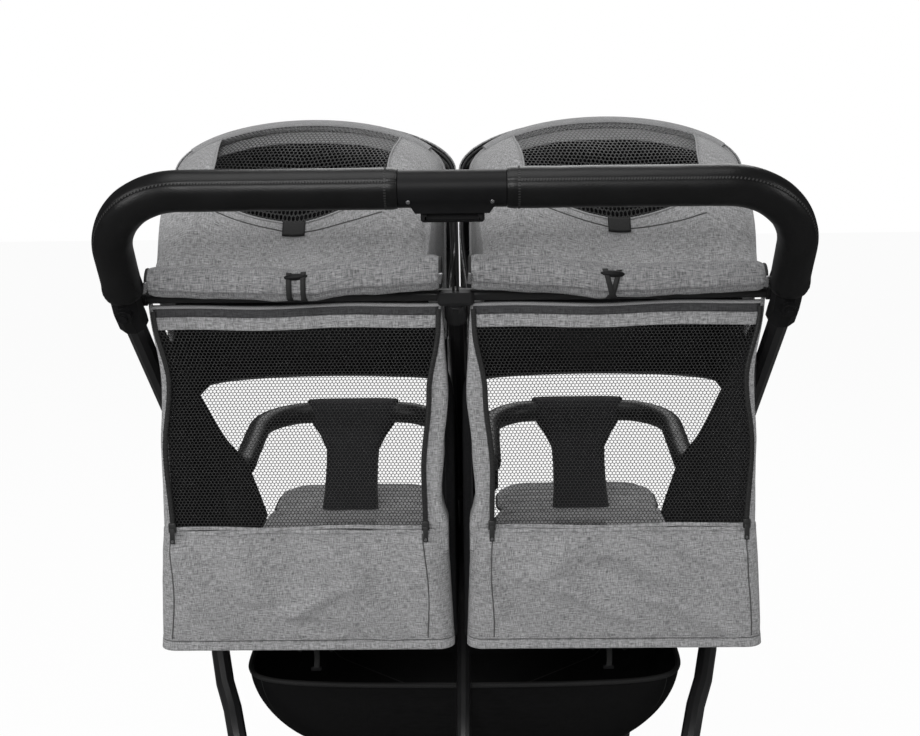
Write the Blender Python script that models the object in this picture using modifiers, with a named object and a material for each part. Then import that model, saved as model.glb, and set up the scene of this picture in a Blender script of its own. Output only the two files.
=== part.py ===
"""Side-by-side double stroller, standing unfolded with both seats reclined.

The stroller faces +Y, its handlebar is at -Y, the floor is z = 0 and x = 0
is the middle. "left" is the -X side. All lengths are metres, all angles degrees.
"""

import math

import bmesh
import bpy
from mathutils import Matrix, Vector

# Gaps and joints between pieces
GAP = 0.0003
PLAY = 0.0005
WELD = 0.00005

# Seats and the places of everything across the stroller
FRAME_HALF = 0.344
SEAT_PITCH = FRAME_HALF + 0.004
SEAT_HALF_WIDTH = SEAT_PITCH / 2 - 0.044
FABRIC = 0.0025

# Side frame: the fold hub, and the tubes that meet at it
HUB_Y = 0.020
HUB_Z = 0.600
HUB_RADIUS = 0.030
TUBE_RADIUS = 0.0115
DISC_WIDTH = 0.0105
HUB_PIN_RADIUS = 0.006
HUB_CAP_WIDTH = 0.005
REAR_LEG_HALF = FRAME_HALF - 0.028
LEG_SPREAD = 0.054
CENTRE_LEG_START = 0.055
CENTRE_TUBE_RADIUS = 0.009
CENTRE_PIN_RADIUS = 0.005
CENTRE_EYE_RADIUS = 0.018
CHEEK_RADIUS = 0.022
CHEEK_WIDTH = 0.005
CUTTER_REACH = 0.03

# Push handle
PUSH_SLOPE = 38.8
PUSH_LENGTH = 0.482
HANDLE_RISE = 0.128
HANDLE_SETBACK = 0.094
HANDLE_CORNER_RADIUS = 0.080
HANDLE_CORE_RADIUS = 0.0145
GRIP_RADIUS = 0.0200
SLEEVE_RADIUS = 0.0188
SLEEVE_HALF = 0.0527
HANDLE_JOINT_RADIUS = 0.0165
HANDLE_JOINT_UPPER = 0.022
HANDLE_JOINT_LOWER = 0.028
RELEASE_TRAVEL = 0.006
GUIDE_DROP = 0.005
GUIDE_HALF = 0.036
LEVER_HALF = 0.031
SLEEVE_FLAT = 0.0015

# Cross bar, rolled flaps and the rear of the seats
CROSS_BAR_RADIUS = 0.0065
CROSS_BAR_FORWARD = 0.018
CLAMP_HALF = 0.0195
CLAMP_SOCKET_RADIUS = 0.0125
CABLE_RADIUS = 0.0014
CABLE_HALF = 0.0022
FLAP_ROLL_RADIUS = 0.0220
FLAP_ROLL_OUTER = FRAME_HALF - 0.0215
FLAP_ROLL_INNER = CLAMP_HALF + 0.0020
ROLL_WAIST = 0.96
WINDOW_SILL_Z = 0.651
WALL_FOOT_Z = 0.505
WALL_FOOT_Y = -0.302
WALL_MIDDLE_Y = -0.331
WALL_TOP_HALF = SEAT_PITCH / 2 - 0.022
WALL_FOOT_HALF = SEAT_PITCH / 2 - 0.008
PANEL_DEPTH = 0.055
PANEL_CORNER = 0.016
PIPING_RADIUS = 0.0045
NET_COLUMNS = 5
NET_ROWS = 6
NET_STRAND = 0.0032
GUSSET_DEPTH = 0.045
GUSSET_TOP_DEPTH = 0.016

# Canopies
CANOPY_Y = -0.220
CANOPY_Z = 0.800
CANOPY_RADIUS = 0.3130
CANOPY_HALF_WIDTH = SEAT_PITCH / 2 - 0.0155
CANOPY_CLOTH = 0.0020
CANOPY_NESTING = 0.0026
RIDGE_ANGLE = 65.0
BRIM_ANGLE = -11.5
BOW_SHOULDER = 0.76
BOW_SQUARENESS = 0.80
BOW_FOOT = 0.14
CANOPY_PLAY = 0.0011
CANOPY_BULGE = (-0.020, 0.030)

# Seats: pan, backrest, leg rest
HIP_Y = 0.075
HIP_Z = 0.478
HIP_RADIUS = 0.0175
BACKREST_LENGTH = 0.358
RECLINE_SLOPE = 6.0
BACKREST_HIP_HALF = SEAT_PITCH / 2 - 0.059
BACKREST_HEAD_HALF = SEAT_PITCH / 2 - 0.038
SEAT_TUBE_RADIUS = 0.009
SEAT_FRONT_Y = 0.305
PAN_TUBE_Y = 0.115
SEAT_THICKNESS = 0.034
LEGREST_LENGTH = 0.155
LEGREST_THICKNESS = 0.026
LEGREST_HALF = SEAT_PITCH / 2 - 0.048
CHANNEL_DEPTH = 0.004
LOCK_Y = -0.225
LOCK_HALF = 0.013
LOCK_HEIGHT = 0.026
STRAP_DROP = 0.048

# Bumper bars
BUMPER_RADIUS = 0.0160
BUMPER_HALF = SEAT_PITCH / 2 - 0.0365
BUMPER_REACH = 0.363
BUMPER_RISE = 0.026
BUMPER_CORNER_RADIUS = 0.080
BUMPER_BACK_Y = 0.130
PLUG_WIDTH = 0.010
PLUG_HEIGHT = 0.018
PLUG_LENGTH = 0.030
SOCKET_WALL = 0.006
COVER_TOP_HALF = 0.067
COVER_WAIST_HALF = 0.036
COVER_WALL = 0.004
COVER_FOOT_Y = 0.264

# Rear legs, axle and wheels
AXLE_Y = -0.270
AXLE_Z = 0.125
AXLE_RADIUS = 0.010
STUB_RADIUS = 0.006
REAR_LEG_FOOT_HALF = REAR_LEG_HALF - LEG_SPREAD
REAR_TRACK_HALF = REAR_LEG_HALF - 0.003
AXLE_SHOULDER = REAR_TRACK_HALF - 0.025
AXLE_END = REAR_TRACK_HALF + 0.024
REAR_TYRE_WIDTH = 0.032
REAR_TYRE_DEPTH = 0.018
PEDAL_X = 0.150
PEDAL_HALF = 0.018
PEDAL_RADIUS = 0.0165

# Front frame and casters
FRONT_TUBE_Y = 0.378
FRONT_TUBE_Z = 0.240
FRONT_TUBE_RADIUS = 0.012
FRONT_LEG_FOOT_HALF = FRAME_HALF - 0.041
CASTER_HALF = 0.240
CASTER_STEM_Y = 0.4126
CASTER_TRAIL = 0.035
CASTER_AXLE_RADIUS = 0.005
CASTER_STEM_RADIUS = 0.006
HOUSING_RADIUS = 0.0170
SADDLE_REACH = 0.045
FRONT_WHEEL_RADIUS = 0.092
FRONT_TYRE_WIDTH = 0.027
FRONT_TYRE_DEPTH = 0.014
FORK_WALL = 0.005
HOUSING_FOOT_Z = 0.2085
STEM_LENGTH = 0.026

# Basket
BASKET_REAR_Y = -0.130
BASKET_FRONT_Y = 0.265
BASKET_RIM_Z = 0.386
BASKET_DEPTH = 0.120
BASKET_TOP_HALF = REAR_LEG_HALF - 0.0355
BASKET_CORNER_RADIUS = 0.022
BASKET_WALL = 0.003

SIDES = (("left", -1), ("right", 1))
SEAT_CENTRE = SEAT_PITCH / 2


# Collections, materials and carriers

def clear_scene():
    for item in list(bpy.data.objects):
        bpy.data.objects.remove(item, do_unlink=True)


def new_collection(name):
    collection = bpy.data.collections.new(name)
    bpy.context.scene.collection.children.link(collection)
    return collection


clear_scene()
PARTS = new_collection("double_stroller")
CUTTERS = new_collection("cutters")


def new_material(name, colour, roughness, metallic=0.0):
    material = bpy.data.materials.new(name)
    material.use_nodes = True
    shader = material.node_tree.nodes["Principled BSDF"]
    shader.inputs["Base Color"].default_value = (*colour, 1.0)
    shader.inputs["Roughness"].default_value = roughness
    shader.inputs["Metallic"].default_value = metallic
    return material


GREY_CLOTH = new_material("grey_cloth", (0.16, 0.16, 0.165), 0.92)
BLACK_CLOTH = new_material("black_cloth", (0.012, 0.012, 0.014), 0.88)
BLACK_NET = new_material("black_net", (0.008, 0.008, 0.009), 0.80)
LEATHERETTE = new_material("leatherette", (0.010, 0.010, 0.011), 0.38)
BLACK_FOAM = new_material("black_foam", (0.018, 0.018, 0.020), 0.85)
BLACK_PAINT = new_material("black_paint", (0.012, 0.012, 0.013), 0.32, 0.60)
BLACK_PLASTIC = new_material("black_plastic", (0.015, 0.015, 0.016), 0.45)
TYRE_RUBBER = new_material("tyre_rubber", (0.020, 0.020, 0.021), 0.80)


def carrier(name, place, parent=None):
    """An empty on a joint's axis, which carries the pieces that move with it."""
    empty = bpy.data.objects.new(name, None)
    empty.empty_display_size = 0.04
    PARTS.objects.link(empty)
    empty.location = place
    bpy.context.view_layer.update()
    if parent:
        carry(empty, parent)
    return empty


def carry(item, parent):
    item.parent = parent
    item.matrix_parent_inverse = parent.matrix_world.inverted()
    bpy.context.view_layer.update()


# Modelling helpers

def link_mesh(name, work, material, bevel=0.0, segments=1):
    """Make an object of a bmesh, with softened edges where a bevel is given."""
    work.normal_update()
    bmesh.ops.recalc_face_normals(work, faces=work.faces)
    mesh = bpy.data.meshes.new(name)
    work.to_mesh(mesh)
    work.free()
    mesh.shade_smooth()
    mesh.set_sharp_from_angle(angle=math.radians(35))
    item = bpy.data.objects.new(name, mesh)
    item.data.materials.append(material)
    PARTS.objects.link(item)
    if bevel:
        modifier = item.modifiers.new("soft_edges", "BEVEL")
        modifier.width = bevel
        modifier.segments = segments
        modifier.limit_method = "ANGLE"
    return item


def box(name, low, high, material, bevel=0.0, segments=1):
    work = bmesh.new()
    bmesh.ops.create_cube(work, size=1.0)
    low, high = Vector(low), Vector(high)
    size = high - low
    bmesh.ops.scale(work, vec=size, verts=work.verts)
    bmesh.ops.translate(work, vec=(low + high) / 2, verts=work.verts)
    return link_mesh(name, work, material, bevel, segments)


def rod(name, start, end, radius, material, sides=16, end_radius=None, bevel=0.0):
    """A straight round piece between two points."""
    start, end = Vector(start), Vector(end)
    work = bmesh.new()
    bmesh.ops.create_cone(work, cap_ends=True, segments=sides, radius1=radius,
                          radius2=radius if end_radius is None else end_radius,
                          depth=(end - start).length)
    turn = (end - start).to_track_quat("Z", "X").to_matrix().to_4x4()
    work.transform(Matrix.Translation((start + end) / 2) @ turn)
    return link_mesh(name, work, material, bevel)


def turned(name, profile, centre, steps, material):
    """A profile of (radius, along) points turned round an axis along X."""
    work = bmesh.new()
    points = [work.verts.new((radius, 0.0, along)) for radius, along in profile]
    for first, second in zip(points, points[1:] + points[:1]):
        if first.co.x > 0 or second.co.x > 0:
            work.edges.new((first, second))
    mesh = bpy.data.meshes.new(name)
    work.to_mesh(mesh)
    work.free()
    item = bpy.data.objects.new(name, mesh)
    item.data.materials.append(material)
    PARTS.objects.link(item)
    item.rotation_euler = (0.0, math.radians(90), 0.0)
    item.location = centre
    screw = item.modifiers.new("turn", "SCREW")
    screw.steps = steps
    screw.render_steps = steps
    screw.use_merge_vertices = True
    screw.merge_threshold = 0.00001
    return item


def rounded_path(corners, radius, steps=5):
    """A polyline with its inner corners replaced by arcs."""
    corners = [Vector(corner) for corner in corners]
    path = [corners[0]]
    for before, corner, after in zip(corners, corners[1:], corners[2:]):
        back = (before - corner).normalized()
        ahead = (after - corner).normalized()
        half_angle = back.angle(ahead) / 2
        start = corner + back * radius / math.tan(half_angle)
        centre = corner + (back + ahead).normalized() * radius / math.sin(half_angle)
        axis = ahead.cross(back)
        sweep = math.pi - 2 * half_angle
        for step in range(steps + 1):
            spin = Matrix.Rotation(sweep * step / steps, 3, axis)
            path.append(centre + spin @ (start - centre))
    path.append(corners[-1])
    return path


def smooth_path(knots, steps=5):
    """A smooth curve through every knot."""
    knots = [Vector(knot) for knot in knots]
    ends = [2 * knots[0] - knots[1]] + knots + [2 * knots[-1] - knots[-2]]
    path = []
    for before, first, second, after in zip(ends, ends[1:], ends[2:], ends[3:]):
        for step in range(steps):
            share = step / steps
            path.append(0.5 * (2 * first + (second - before) * share
                               + (2 * before - 5 * first + 4 * second - after) * share ** 2
                               + (3 * first - before - 3 * second + after) * share ** 3))
    path.append(knots[-1])
    return path


def tube(name, path, radius, material, resolution=3, swell=None):
    """A round tube along a path; swell scales its radius at each point."""
    curve = bpy.data.curves.new(name, "CURVE")
    curve.dimensions = "3D"
    curve.bevel_depth = radius
    curve.bevel_resolution = resolution
    curve.use_fill_caps = True
    spline = curve.splines.new("POLY")
    spline.points.add(len(path) - 1)
    for number, place in enumerate(path):
        spline.points[number].co = (*place, 1.0)
        if swell:
            spline.points[number].radius = swell[number]
    curve.materials.append(material)
    item = bpy.data.objects.new(name, curve)
    PARTS.objects.link(item)
    return item


def as_mesh(source):
    """Turn a curve object into a mesh object with its caps welded on."""
    bpy.context.view_layer.update()
    graph = bpy.context.evaluated_depsgraph_get()
    mesh = bpy.data.meshes.new_from_object(source.evaluated_get(graph))
    work = bmesh.new()
    work.from_mesh(mesh)
    bmesh.ops.remove_doubles(work, verts=work.verts, dist=WELD)
    bmesh.ops.recalc_face_normals(work, faces=work.faces)
    work.to_mesh(mesh)
    work.free()
    name = source.name
    place = source.matrix_world.copy()
    bpy.data.objects.remove(source, do_unlink=True)
    item = bpy.data.objects.new(name, mesh)
    item.matrix_world = place
    PARTS.objects.link(item)
    return item


def combine(target, tool, operation):
    """Join a tool to a target or cut it out, and keep the tool as a guide."""
    modifier = target.modifiers.new(operation.lower(), "BOOLEAN")
    modifier.operation = operation
    modifier.solver = "EXACT"
    modifier.object = tool
    PARTS.objects.unlink(tool)
    CUTTERS.objects.link(tool)
    tool.hide_render = True
    tool.display_type = "WIRE"
    return target


def join(target, *tools):
    for tool in tools:
        combine(target, tool, "UNION")
    return target


def cut(target, *tools):
    for tool in tools:
        combine(target, tool, "DIFFERENCE")
    return target


def shell(name, rows, thickness, material, offset=0.0):
    """An open surface through rows of points, thickened into cloth."""
    work = bmesh.new()
    grid = [[work.verts.new(place) for place in row] for row in rows]
    for upper, lower in zip(grid, grid[1:]):
        for number in range(len(upper) - 1):
            work.faces.new((upper[number], upper[number + 1],
                            lower[number + 1], lower[number]))
    item = link_mesh(name, work, material)
    thicken = item.modifiers.new("cloth", "SOLIDIFY")
    thicken.thickness = thickness
    thicken.offset = offset
    thicken.use_even_offset = True
    return item


def loft(name, rings, material):
    """A closed skin through rings of equally many points."""
    work = bmesh.new()
    loops = [[work.verts.new(place) for place in ring] for ring in rings]
    for upper, lower in zip(loops, loops[1:]):
        for number in range(len(upper)):
            after = (number + 1) % len(upper)
            work.faces.new((upper[number], upper[after], lower[after], lower[number]))
    work.faces.new(loops[0])
    work.faces.new(loops[-1])
    return link_mesh(name, work, material)


def plate_yz(name, outline, low_x, high_x, material, bevel=0.0):
    """A flat piece with an outline of (y, z) points between two x places."""
    work = bmesh.new()
    face = work.faces.new([work.verts.new((low_x, y, z)) for y, z in outline])
    swept = bmesh.ops.extrude_face_region(work, geom=[face])
    moved = [part for part in swept["geom"] if isinstance(part, bmesh.types.BMVert)]
    bmesh.ops.translate(work, vec=(high_x - low_x, 0, 0), verts=moved)
    return link_mesh(name, work, material, bevel)


def pad_ring(y, centre_x, half_width, low, high, points=12, squareness=0.45):
    """One cross-section of a cushion, with drawn-in sides and a crown."""
    middle = (low + high) / 2
    half = (high - low) / 2
    ring = []
    for number in range(points):
        angle = 2 * math.pi * (number + 0.5) / points
        across = math.copysign(abs(math.cos(angle)) ** squareness, math.cos(angle))
        rise = math.copysign(abs(math.sin(angle)) ** squareness, math.sin(angle))
        ring.append((centre_x + half_width * across, y, middle + half * rise))
    return ring


def polar(radius, angle, y=HUB_Y, z=HUB_Z):
    """The (y, z) place at a distance and an angle from the +Y direction."""
    return (y + radius * math.cos(math.radians(angle)),
            z + radius * math.sin(math.radians(angle)))


def at(x, place):
    return Vector((x, place[0], place[1]))


# Places that several pieces share

PUSH_ANGLE = 180 - PUSH_SLOPE
HANDLE_JOINT = polar(PUSH_LENGTH, PUSH_ANGLE)
HANDLE_Y = HANDLE_JOINT[0] - HANDLE_SETBACK
HANDLE_Z = HANDLE_JOINT[1] + HANDLE_RISE
HANDLE_ANGLE = math.degrees(math.atan2(HANDLE_RISE, -HANDLE_SETBACK))
CROSS_BAR = (HANDLE_JOINT[0] + CROSS_BAR_FORWARD,
             HANDLE_JOINT[1] - CROSS_BAR_FORWARD * math.tan(math.radians(PUSH_SLOPE))
             + (TUBE_RADIUS + CROSS_BAR_RADIUS - PLAY) / math.cos(math.radians(PUSH_SLOPE)))
ROLL_OFFSET = (FLAP_ROLL_RADIUS + CROSS_BAR_RADIUS + PLAY) / math.sqrt(2)
FLAP_ROLL = (CROSS_BAR[0] - ROLL_OFFSET, CROSS_BAR[1] + ROLL_OFFSET)
SEAT_TUBE_Z = HIP_Z - HIP_RADIUS - GAP - SEAT_TUBE_RADIUS
PAN_LOW = HIP_Z - HIP_RADIUS
DISC_INNER = FRAME_HALF - GAP / 2 - DISC_WIDTH
DISC_OUTER = FRAME_HALF + GAP / 2 + DISC_WIDTH
HOUSING_OUTER = DISC_INNER - GAP
HOUSING_INNER = REAR_LEG_HALF - TUBE_RADIUS
REAR_LEG_KNOTS = ((0.0, HUB_Y, HUB_Z), (-0.006, -0.106, 0.420), (-0.040, -0.195, 0.335))


def mirrored(side, place):
    return (side * place[0], place[1], place[2])


# Rear legs, axle and seat frame

def leg_path(top_half, foot_half, start):
    """The bowed run of a rear leg from its hub to the axle."""
    spread = (top_half - foot_half) / LEG_SPREAD
    first, second, third = REAR_LEG_KNOTS
    direction = (Vector(second) - Vector(first)).normalized()
    head = Vector(first) + direction * start
    return smooth_path((
        (top_half, head.y, head.z),
        (top_half + second[0] * spread, second[1], second[2]),
        (top_half + third[0] * spread, third[1], third[2]),
        (foot_half, AXLE_Y, AXLE_Z)), steps=3)


def build_rear_legs():
    for word, side in SIDES:
        path = [mirrored(side, place) for place in
                leg_path(REAR_LEG_HALF, REAR_LEG_FOOT_HALF, HUB_RADIUS + GAP)]
        leg = as_mesh(tube("rear_leg_" + word, path, TUBE_RADIUS, BLACK_PAINT))
        cut(leg, rod("rear_leg_saddle_" + word,
                     (side * (REAR_LEG_FOOT_HALF - CUTTER_REACH), AXLE_Y, AXLE_Z),
                     (side * (REAR_LEG_FOOT_HALF + CUTTER_REACH), AXLE_Y, AXLE_Z),
                     AXLE_RADIUS + GAP, BLACK_PAINT))
    path = leg_path(0.0, 0.0, CENTRE_LEG_START)
    leg = as_mesh(tube("rear_leg_centre", path, CENTRE_TUBE_RADIUS, BLACK_PAINT))
    cut(leg, rod("rear_leg_saddle_centre", (-CUTTER_REACH, AXLE_Y, AXLE_Z),
                 (CUTTER_REACH, AXLE_Y, AXLE_Z), AXLE_RADIUS + GAP, BLACK_PAINT))


def build_rear_axle():
    """A cross tube with a stub axle and a retaining cap at each end."""
    half = ((0.0, AXLE_END), (0.010, AXLE_END), (0.010, AXLE_END - 0.004),
            (STUB_RADIUS, AXLE_END - 0.004), (STUB_RADIUS, AXLE_SHOULDER),
            (AXLE_RADIUS, AXLE_SHOULDER))
    profile = list(half) + [(radius, -along) for radius, along in reversed(half)]
    turned("rear_axle", profile, (0.0, AXLE_Y, AXLE_Z), 16, BLACK_PAINT)


def build_seat_frame():
    """Two side rails from the hubs, joined by the tubes under the seats."""
    rail_top = (REAR_LEG_HALF, HUB_Y + 0.012, HUB_Z - HUB_RADIUS - GAP)
    corners = [rail_top, (REAR_LEG_HALF, HIP_Y + 0.010, SEAT_TUBE_Z),
               (REAR_LEG_HALF, SEAT_FRONT_Y, SEAT_TUBE_Z),
               (-REAR_LEG_HALF, SEAT_FRONT_Y, SEAT_TUBE_Z),
               (-REAR_LEG_HALF, HIP_Y + 0.010, SEAT_TUBE_Z), mirrored(-1, rail_top)]
    frame = as_mesh(tube("seat_frame", rounded_path(corners, 0.020, 3),
                         SEAT_TUBE_RADIUS, BLACK_PAINT))
    for name, y, z in (("pan_tube", PAN_TUBE_Y, SEAT_TUBE_Z), ("hip_tube", HIP_Y, HIP_Z)):
        join(frame, rod(name, (-REAR_LEG_HALF, y, z), (REAR_LEG_HALF, y, z),
                        SEAT_TUBE_RADIUS - GAP, BLACK_PAINT, sides=12))


# Fold hubs

def direction_box(name, x_low, x_high, start, end, half, angle, material):
    """A bar of flat sides that leaves the hub's axis at an angle."""
    bar = box(name, (x_low, start, -half), (x_high, end, half), material)
    bar.rotation_euler = (math.radians(angle), 0.0, 0.0)
    bar.location = (0.0, HUB_Y, HUB_Z)
    return bar


def build_side_hubs():
    """Each side hub: a housing on the rear leg, with the pin of the fold joint."""
    for word, side in SIDES:
        inner, outer = side * HOUSING_INNER, side * HOUSING_OUTER
        cap = side * (DISC_OUTER + GAP)
        housing = rod("hub_" + word, at(inner, (HUB_Y, HUB_Z)), at(outer, (HUB_Y, HUB_Z)),
                      HUB_RADIUS, BLACK_PLASTIC, sides=20)
        pin = rod("hub_pin_" + word, at(side * REAR_LEG_HALF, (HUB_Y, HUB_Z)),
                  at(cap + side * HUB_CAP_WIDTH / 2, (HUB_Y, HUB_Z)),
                  HUB_PIN_RADIUS, BLACK_PLASTIC, sides=12)
        lid = rod("hub_cap_" + word, at(cap, (HUB_Y, HUB_Z)),
                  at(cap + side * HUB_CAP_WIDTH, (HUB_Y, HUB_Z)), HUB_RADIUS * 0.86,
                  BLACK_PLASTIC, sides=20)
        bar_x = side * (SEAT_CENTRE + BUMPER_HALF)
        half_x = PLUG_WIDTH / 2 + SOCKET_WALL
        half_z = PLUG_HEIGHT / 2 + SOCKET_WALL
        arm = box("bumper_arm_" + word, (bar_x - half_x, HUB_Y + 0.012, HUB_Z - half_z),
                  (bar_x + half_x, BUMPER_BACK_Y - GAP, HUB_Z + half_z), BLACK_PLASTIC, 0.0035)
        join(housing, pin, lid, arm)
        cut(housing, plug_hole("bumper_socket_" + word, bar_x))


def plug_hole(name, x):
    return box(name, (x - PLUG_WIDTH / 2 - PLAY, BUMPER_BACK_Y - PLUG_LENGTH - 0.004,
                      HUB_Z - PLUG_HEIGHT / 2 - PLAY),
               (x + PLUG_WIDTH / 2 + PLAY, BUMPER_BACK_Y + 0.010,
                HUB_Z + PLUG_HEIGHT / 2 + PLAY), BLACK_PLASTIC)


def build_centre_hub():
    """Two cheeks on the middle rear leg, with both inner bumper sockets."""
    near = CENTRE_TUBE_RADIUS + PLAY
    far = near + CHEEK_WIDTH
    bar_x = SEAT_CENTRE - BUMPER_HALF
    half_x = bar_x + PLUG_WIDTH / 2 + SOCKET_WALL
    half_z = PLUG_HEIGHT / 2 + SOCKET_WALL
    hub = box("hub_centre", (-half_x, HUB_Y + 0.030, HUB_Z - half_z),
              (half_x, BUMPER_BACK_Y - GAP, HUB_Z + half_z), BLACK_PLASTIC, 0.004)
    leg_angle = math.degrees(math.atan2(REAR_LEG_KNOTS[1][2] - HUB_Z,
                                        REAR_LEG_KNOTS[1][1] - HUB_Y))
    for word, side in SIDES:
        low, high = sorted((side * near, side * far))
        cheek = rod("cheek_" + word, (low, HUB_Y, HUB_Z), (high, HUB_Y, HUB_Z),
                    CHEEK_RADIUS, BLACK_PLASTIC)
        forward = box("cheek_arm_" + word, (low + GAP, HUB_Y, HUB_Z - half_z + 0.003),
                      (high - GAP, HUB_Y + 0.050, HUB_Z + half_z - 0.003), BLACK_PLASTIC)
        down = direction_box("cheek_leg_" + word, low + 2 * GAP, high - 2 * GAP, 0.002,
                             CENTRE_LEG_START + 0.045, 0.012, leg_angle, BLACK_PLASTIC)
        join(hub, cheek, forward, down)
        cut(hub, plug_hole("inner_socket_" + word, side * bar_x))
    join(hub, rod("centre_pin", (-near - 0.001, HUB_Y, HUB_Z), (near + 0.001, HUB_Y, HUB_Z),
                  CENTRE_PIN_RADIUS, BLACK_PLASTIC, sides=12))
    post_top = HUB_Z - half_z + 0.004
    post = rod("centre_post", (0.0, PAN_TUBE_Y, SEAT_TUBE_Z),
               (0.0, PAN_TUBE_Y, post_top), CENTRE_TUBE_RADIUS, BLACK_PLASTIC, sides=12)
    join(hub, post)
    cut(hub, rod("centre_post_saddle", (-CUTTER_REACH, PAN_TUBE_Y, SEAT_TUBE_Z),
                 (CUTTER_REACH, PAN_TUBE_Y, SEAT_TUBE_Z), SEAT_TUBE_RADIUS, BLACK_PLASTIC,
                 sides=12))


# Push frame

def build_push_tubes(push_frame):
    for word, side in SIDES:
        x = side * FRAME_HALF
        start = at(x, polar(HUB_RADIUS + 0.002, PUSH_ANGLE))
        end = at(x, polar(PUSH_LENGTH - HANDLE_JOINT_LOWER - GAP, PUSH_ANGLE))
        push = as_mesh(tube("push_tube_" + word, [start, end], TUBE_RADIUS, BLACK_PAINT))
        inner, outer = sorted((side * DISC_INNER, side * (FRAME_HALF - GAP / 2)))
        disc = rod("push_disc_" + word, at(inner, (HUB_Y, HUB_Z)), at(outer, (HUB_Y, HUB_Z)),
                   HUB_RADIUS, BLACK_PAINT, sides=20)
        tongue = direction_box("push_tongue_" + word, inner + GAP, outer - GAP, 0.010,
                               HUB_RADIUS + 0.012, 0.009, PUSH_ANGLE, BLACK_PAINT)
        join(push, disc, tongue)
        cut(push, rod("push_bore_" + word, at(x - CUTTER_REACH, (HUB_Y, HUB_Z)),
                      at(x + CUTTER_REACH, (HUB_Y, HUB_Z)), HUB_PIN_RADIUS + PLAY,
                      BLACK_PAINT, sides=12))
        carry(push, push_frame)
    start = at(0.0, polar(0.012, PUSH_ANGLE))
    end = at(0.0, (CROSS_BAR[0], CROSS_BAR[1] - CENTRE_TUBE_RADIUS))
    centre = as_mesh(tube("push_tube_centre", [start, end], CENTRE_TUBE_RADIUS, BLACK_PAINT))
    eye = rod("centre_eye", (GAP - CENTRE_TUBE_RADIUS, HUB_Y, HUB_Z),
              (CENTRE_TUBE_RADIUS - GAP, HUB_Y, HUB_Z), CENTRE_EYE_RADIUS, BLACK_PAINT)
    clamp = box("centre_clamp", (-CLAMP_HALF, CROSS_BAR[0] - 0.010, CROSS_BAR[1] - 0.011),
                (CLAMP_HALF, CROSS_BAR[0] + 0.010, CROSS_BAR[1] + 0.006), BLACK_PLASTIC, 0.003)
    socket = tube("centre_socket", [at(0.0, CROSS_BAR), end + (start - end).normalized() * 0.03],
                  CLAMP_SOCKET_RADIUS, BLACK_PLASTIC)
    cables = [rod("release_cable", (x, CROSS_BAR[0] - 0.004, CROSS_BAR[1] + 0.002),
                  (x, HANDLE_Y + 0.008, HANDLE_Z - SLEEVE_RADIUS - GUIDE_DROP - CABLE_RADIUS),
                  CABLE_RADIUS, BLACK_PLASTIC, sides=8) for x in (-CABLE_HALF, CABLE_HALF)]
    join(centre, eye, clamp, as_mesh(socket), *cables)
    cut(centre,
        rod("centre_bore", (-CUTTER_REACH, HUB_Y, HUB_Z), (CUTTER_REACH, HUB_Y, HUB_Z),
            CENTRE_PIN_RADIUS + PLAY, BLACK_PAINT, sides=12),
        rod("cross_bar_seat", at(-CUTTER_REACH, CROSS_BAR), at(CUTTER_REACH, CROSS_BAR),
            CROSS_BAR_RADIUS + GAP, BLACK_PAINT, sides=12))
    carry(centre, push_frame)


def handle_path():
    """The handlebar's line from one handle joint over to the other."""
    reach = HANDLE_JOINT_UPPER + GAP
    foot = polar(reach, HANDLE_ANGLE, *HANDLE_JOINT)
    corners = (at(-FRAME_HALF, foot), at(-FRAME_HALF, (HANDLE_Y, HANDLE_Z)),
               at(FRAME_HALF, (HANDLE_Y, HANDLE_Z)), at(FRAME_HALF, foot))
    return rounded_path(corners, HANDLE_CORNER_RADIUS, 5)


def handle_bore(name):
    """A cutter that clears the core tube all along, past both of its ends."""
    path = handle_path()
    path[0] = path[0] + (path[0] - path[1]).normalized() * 0.005
    path[-1] = path[-1] + (path[-1] - path[-2]).normalized() * 0.005
    return as_mesh(tube(name, path, HANDLE_CORE_RADIUS + GAP, BLACK_PAINT))


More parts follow.
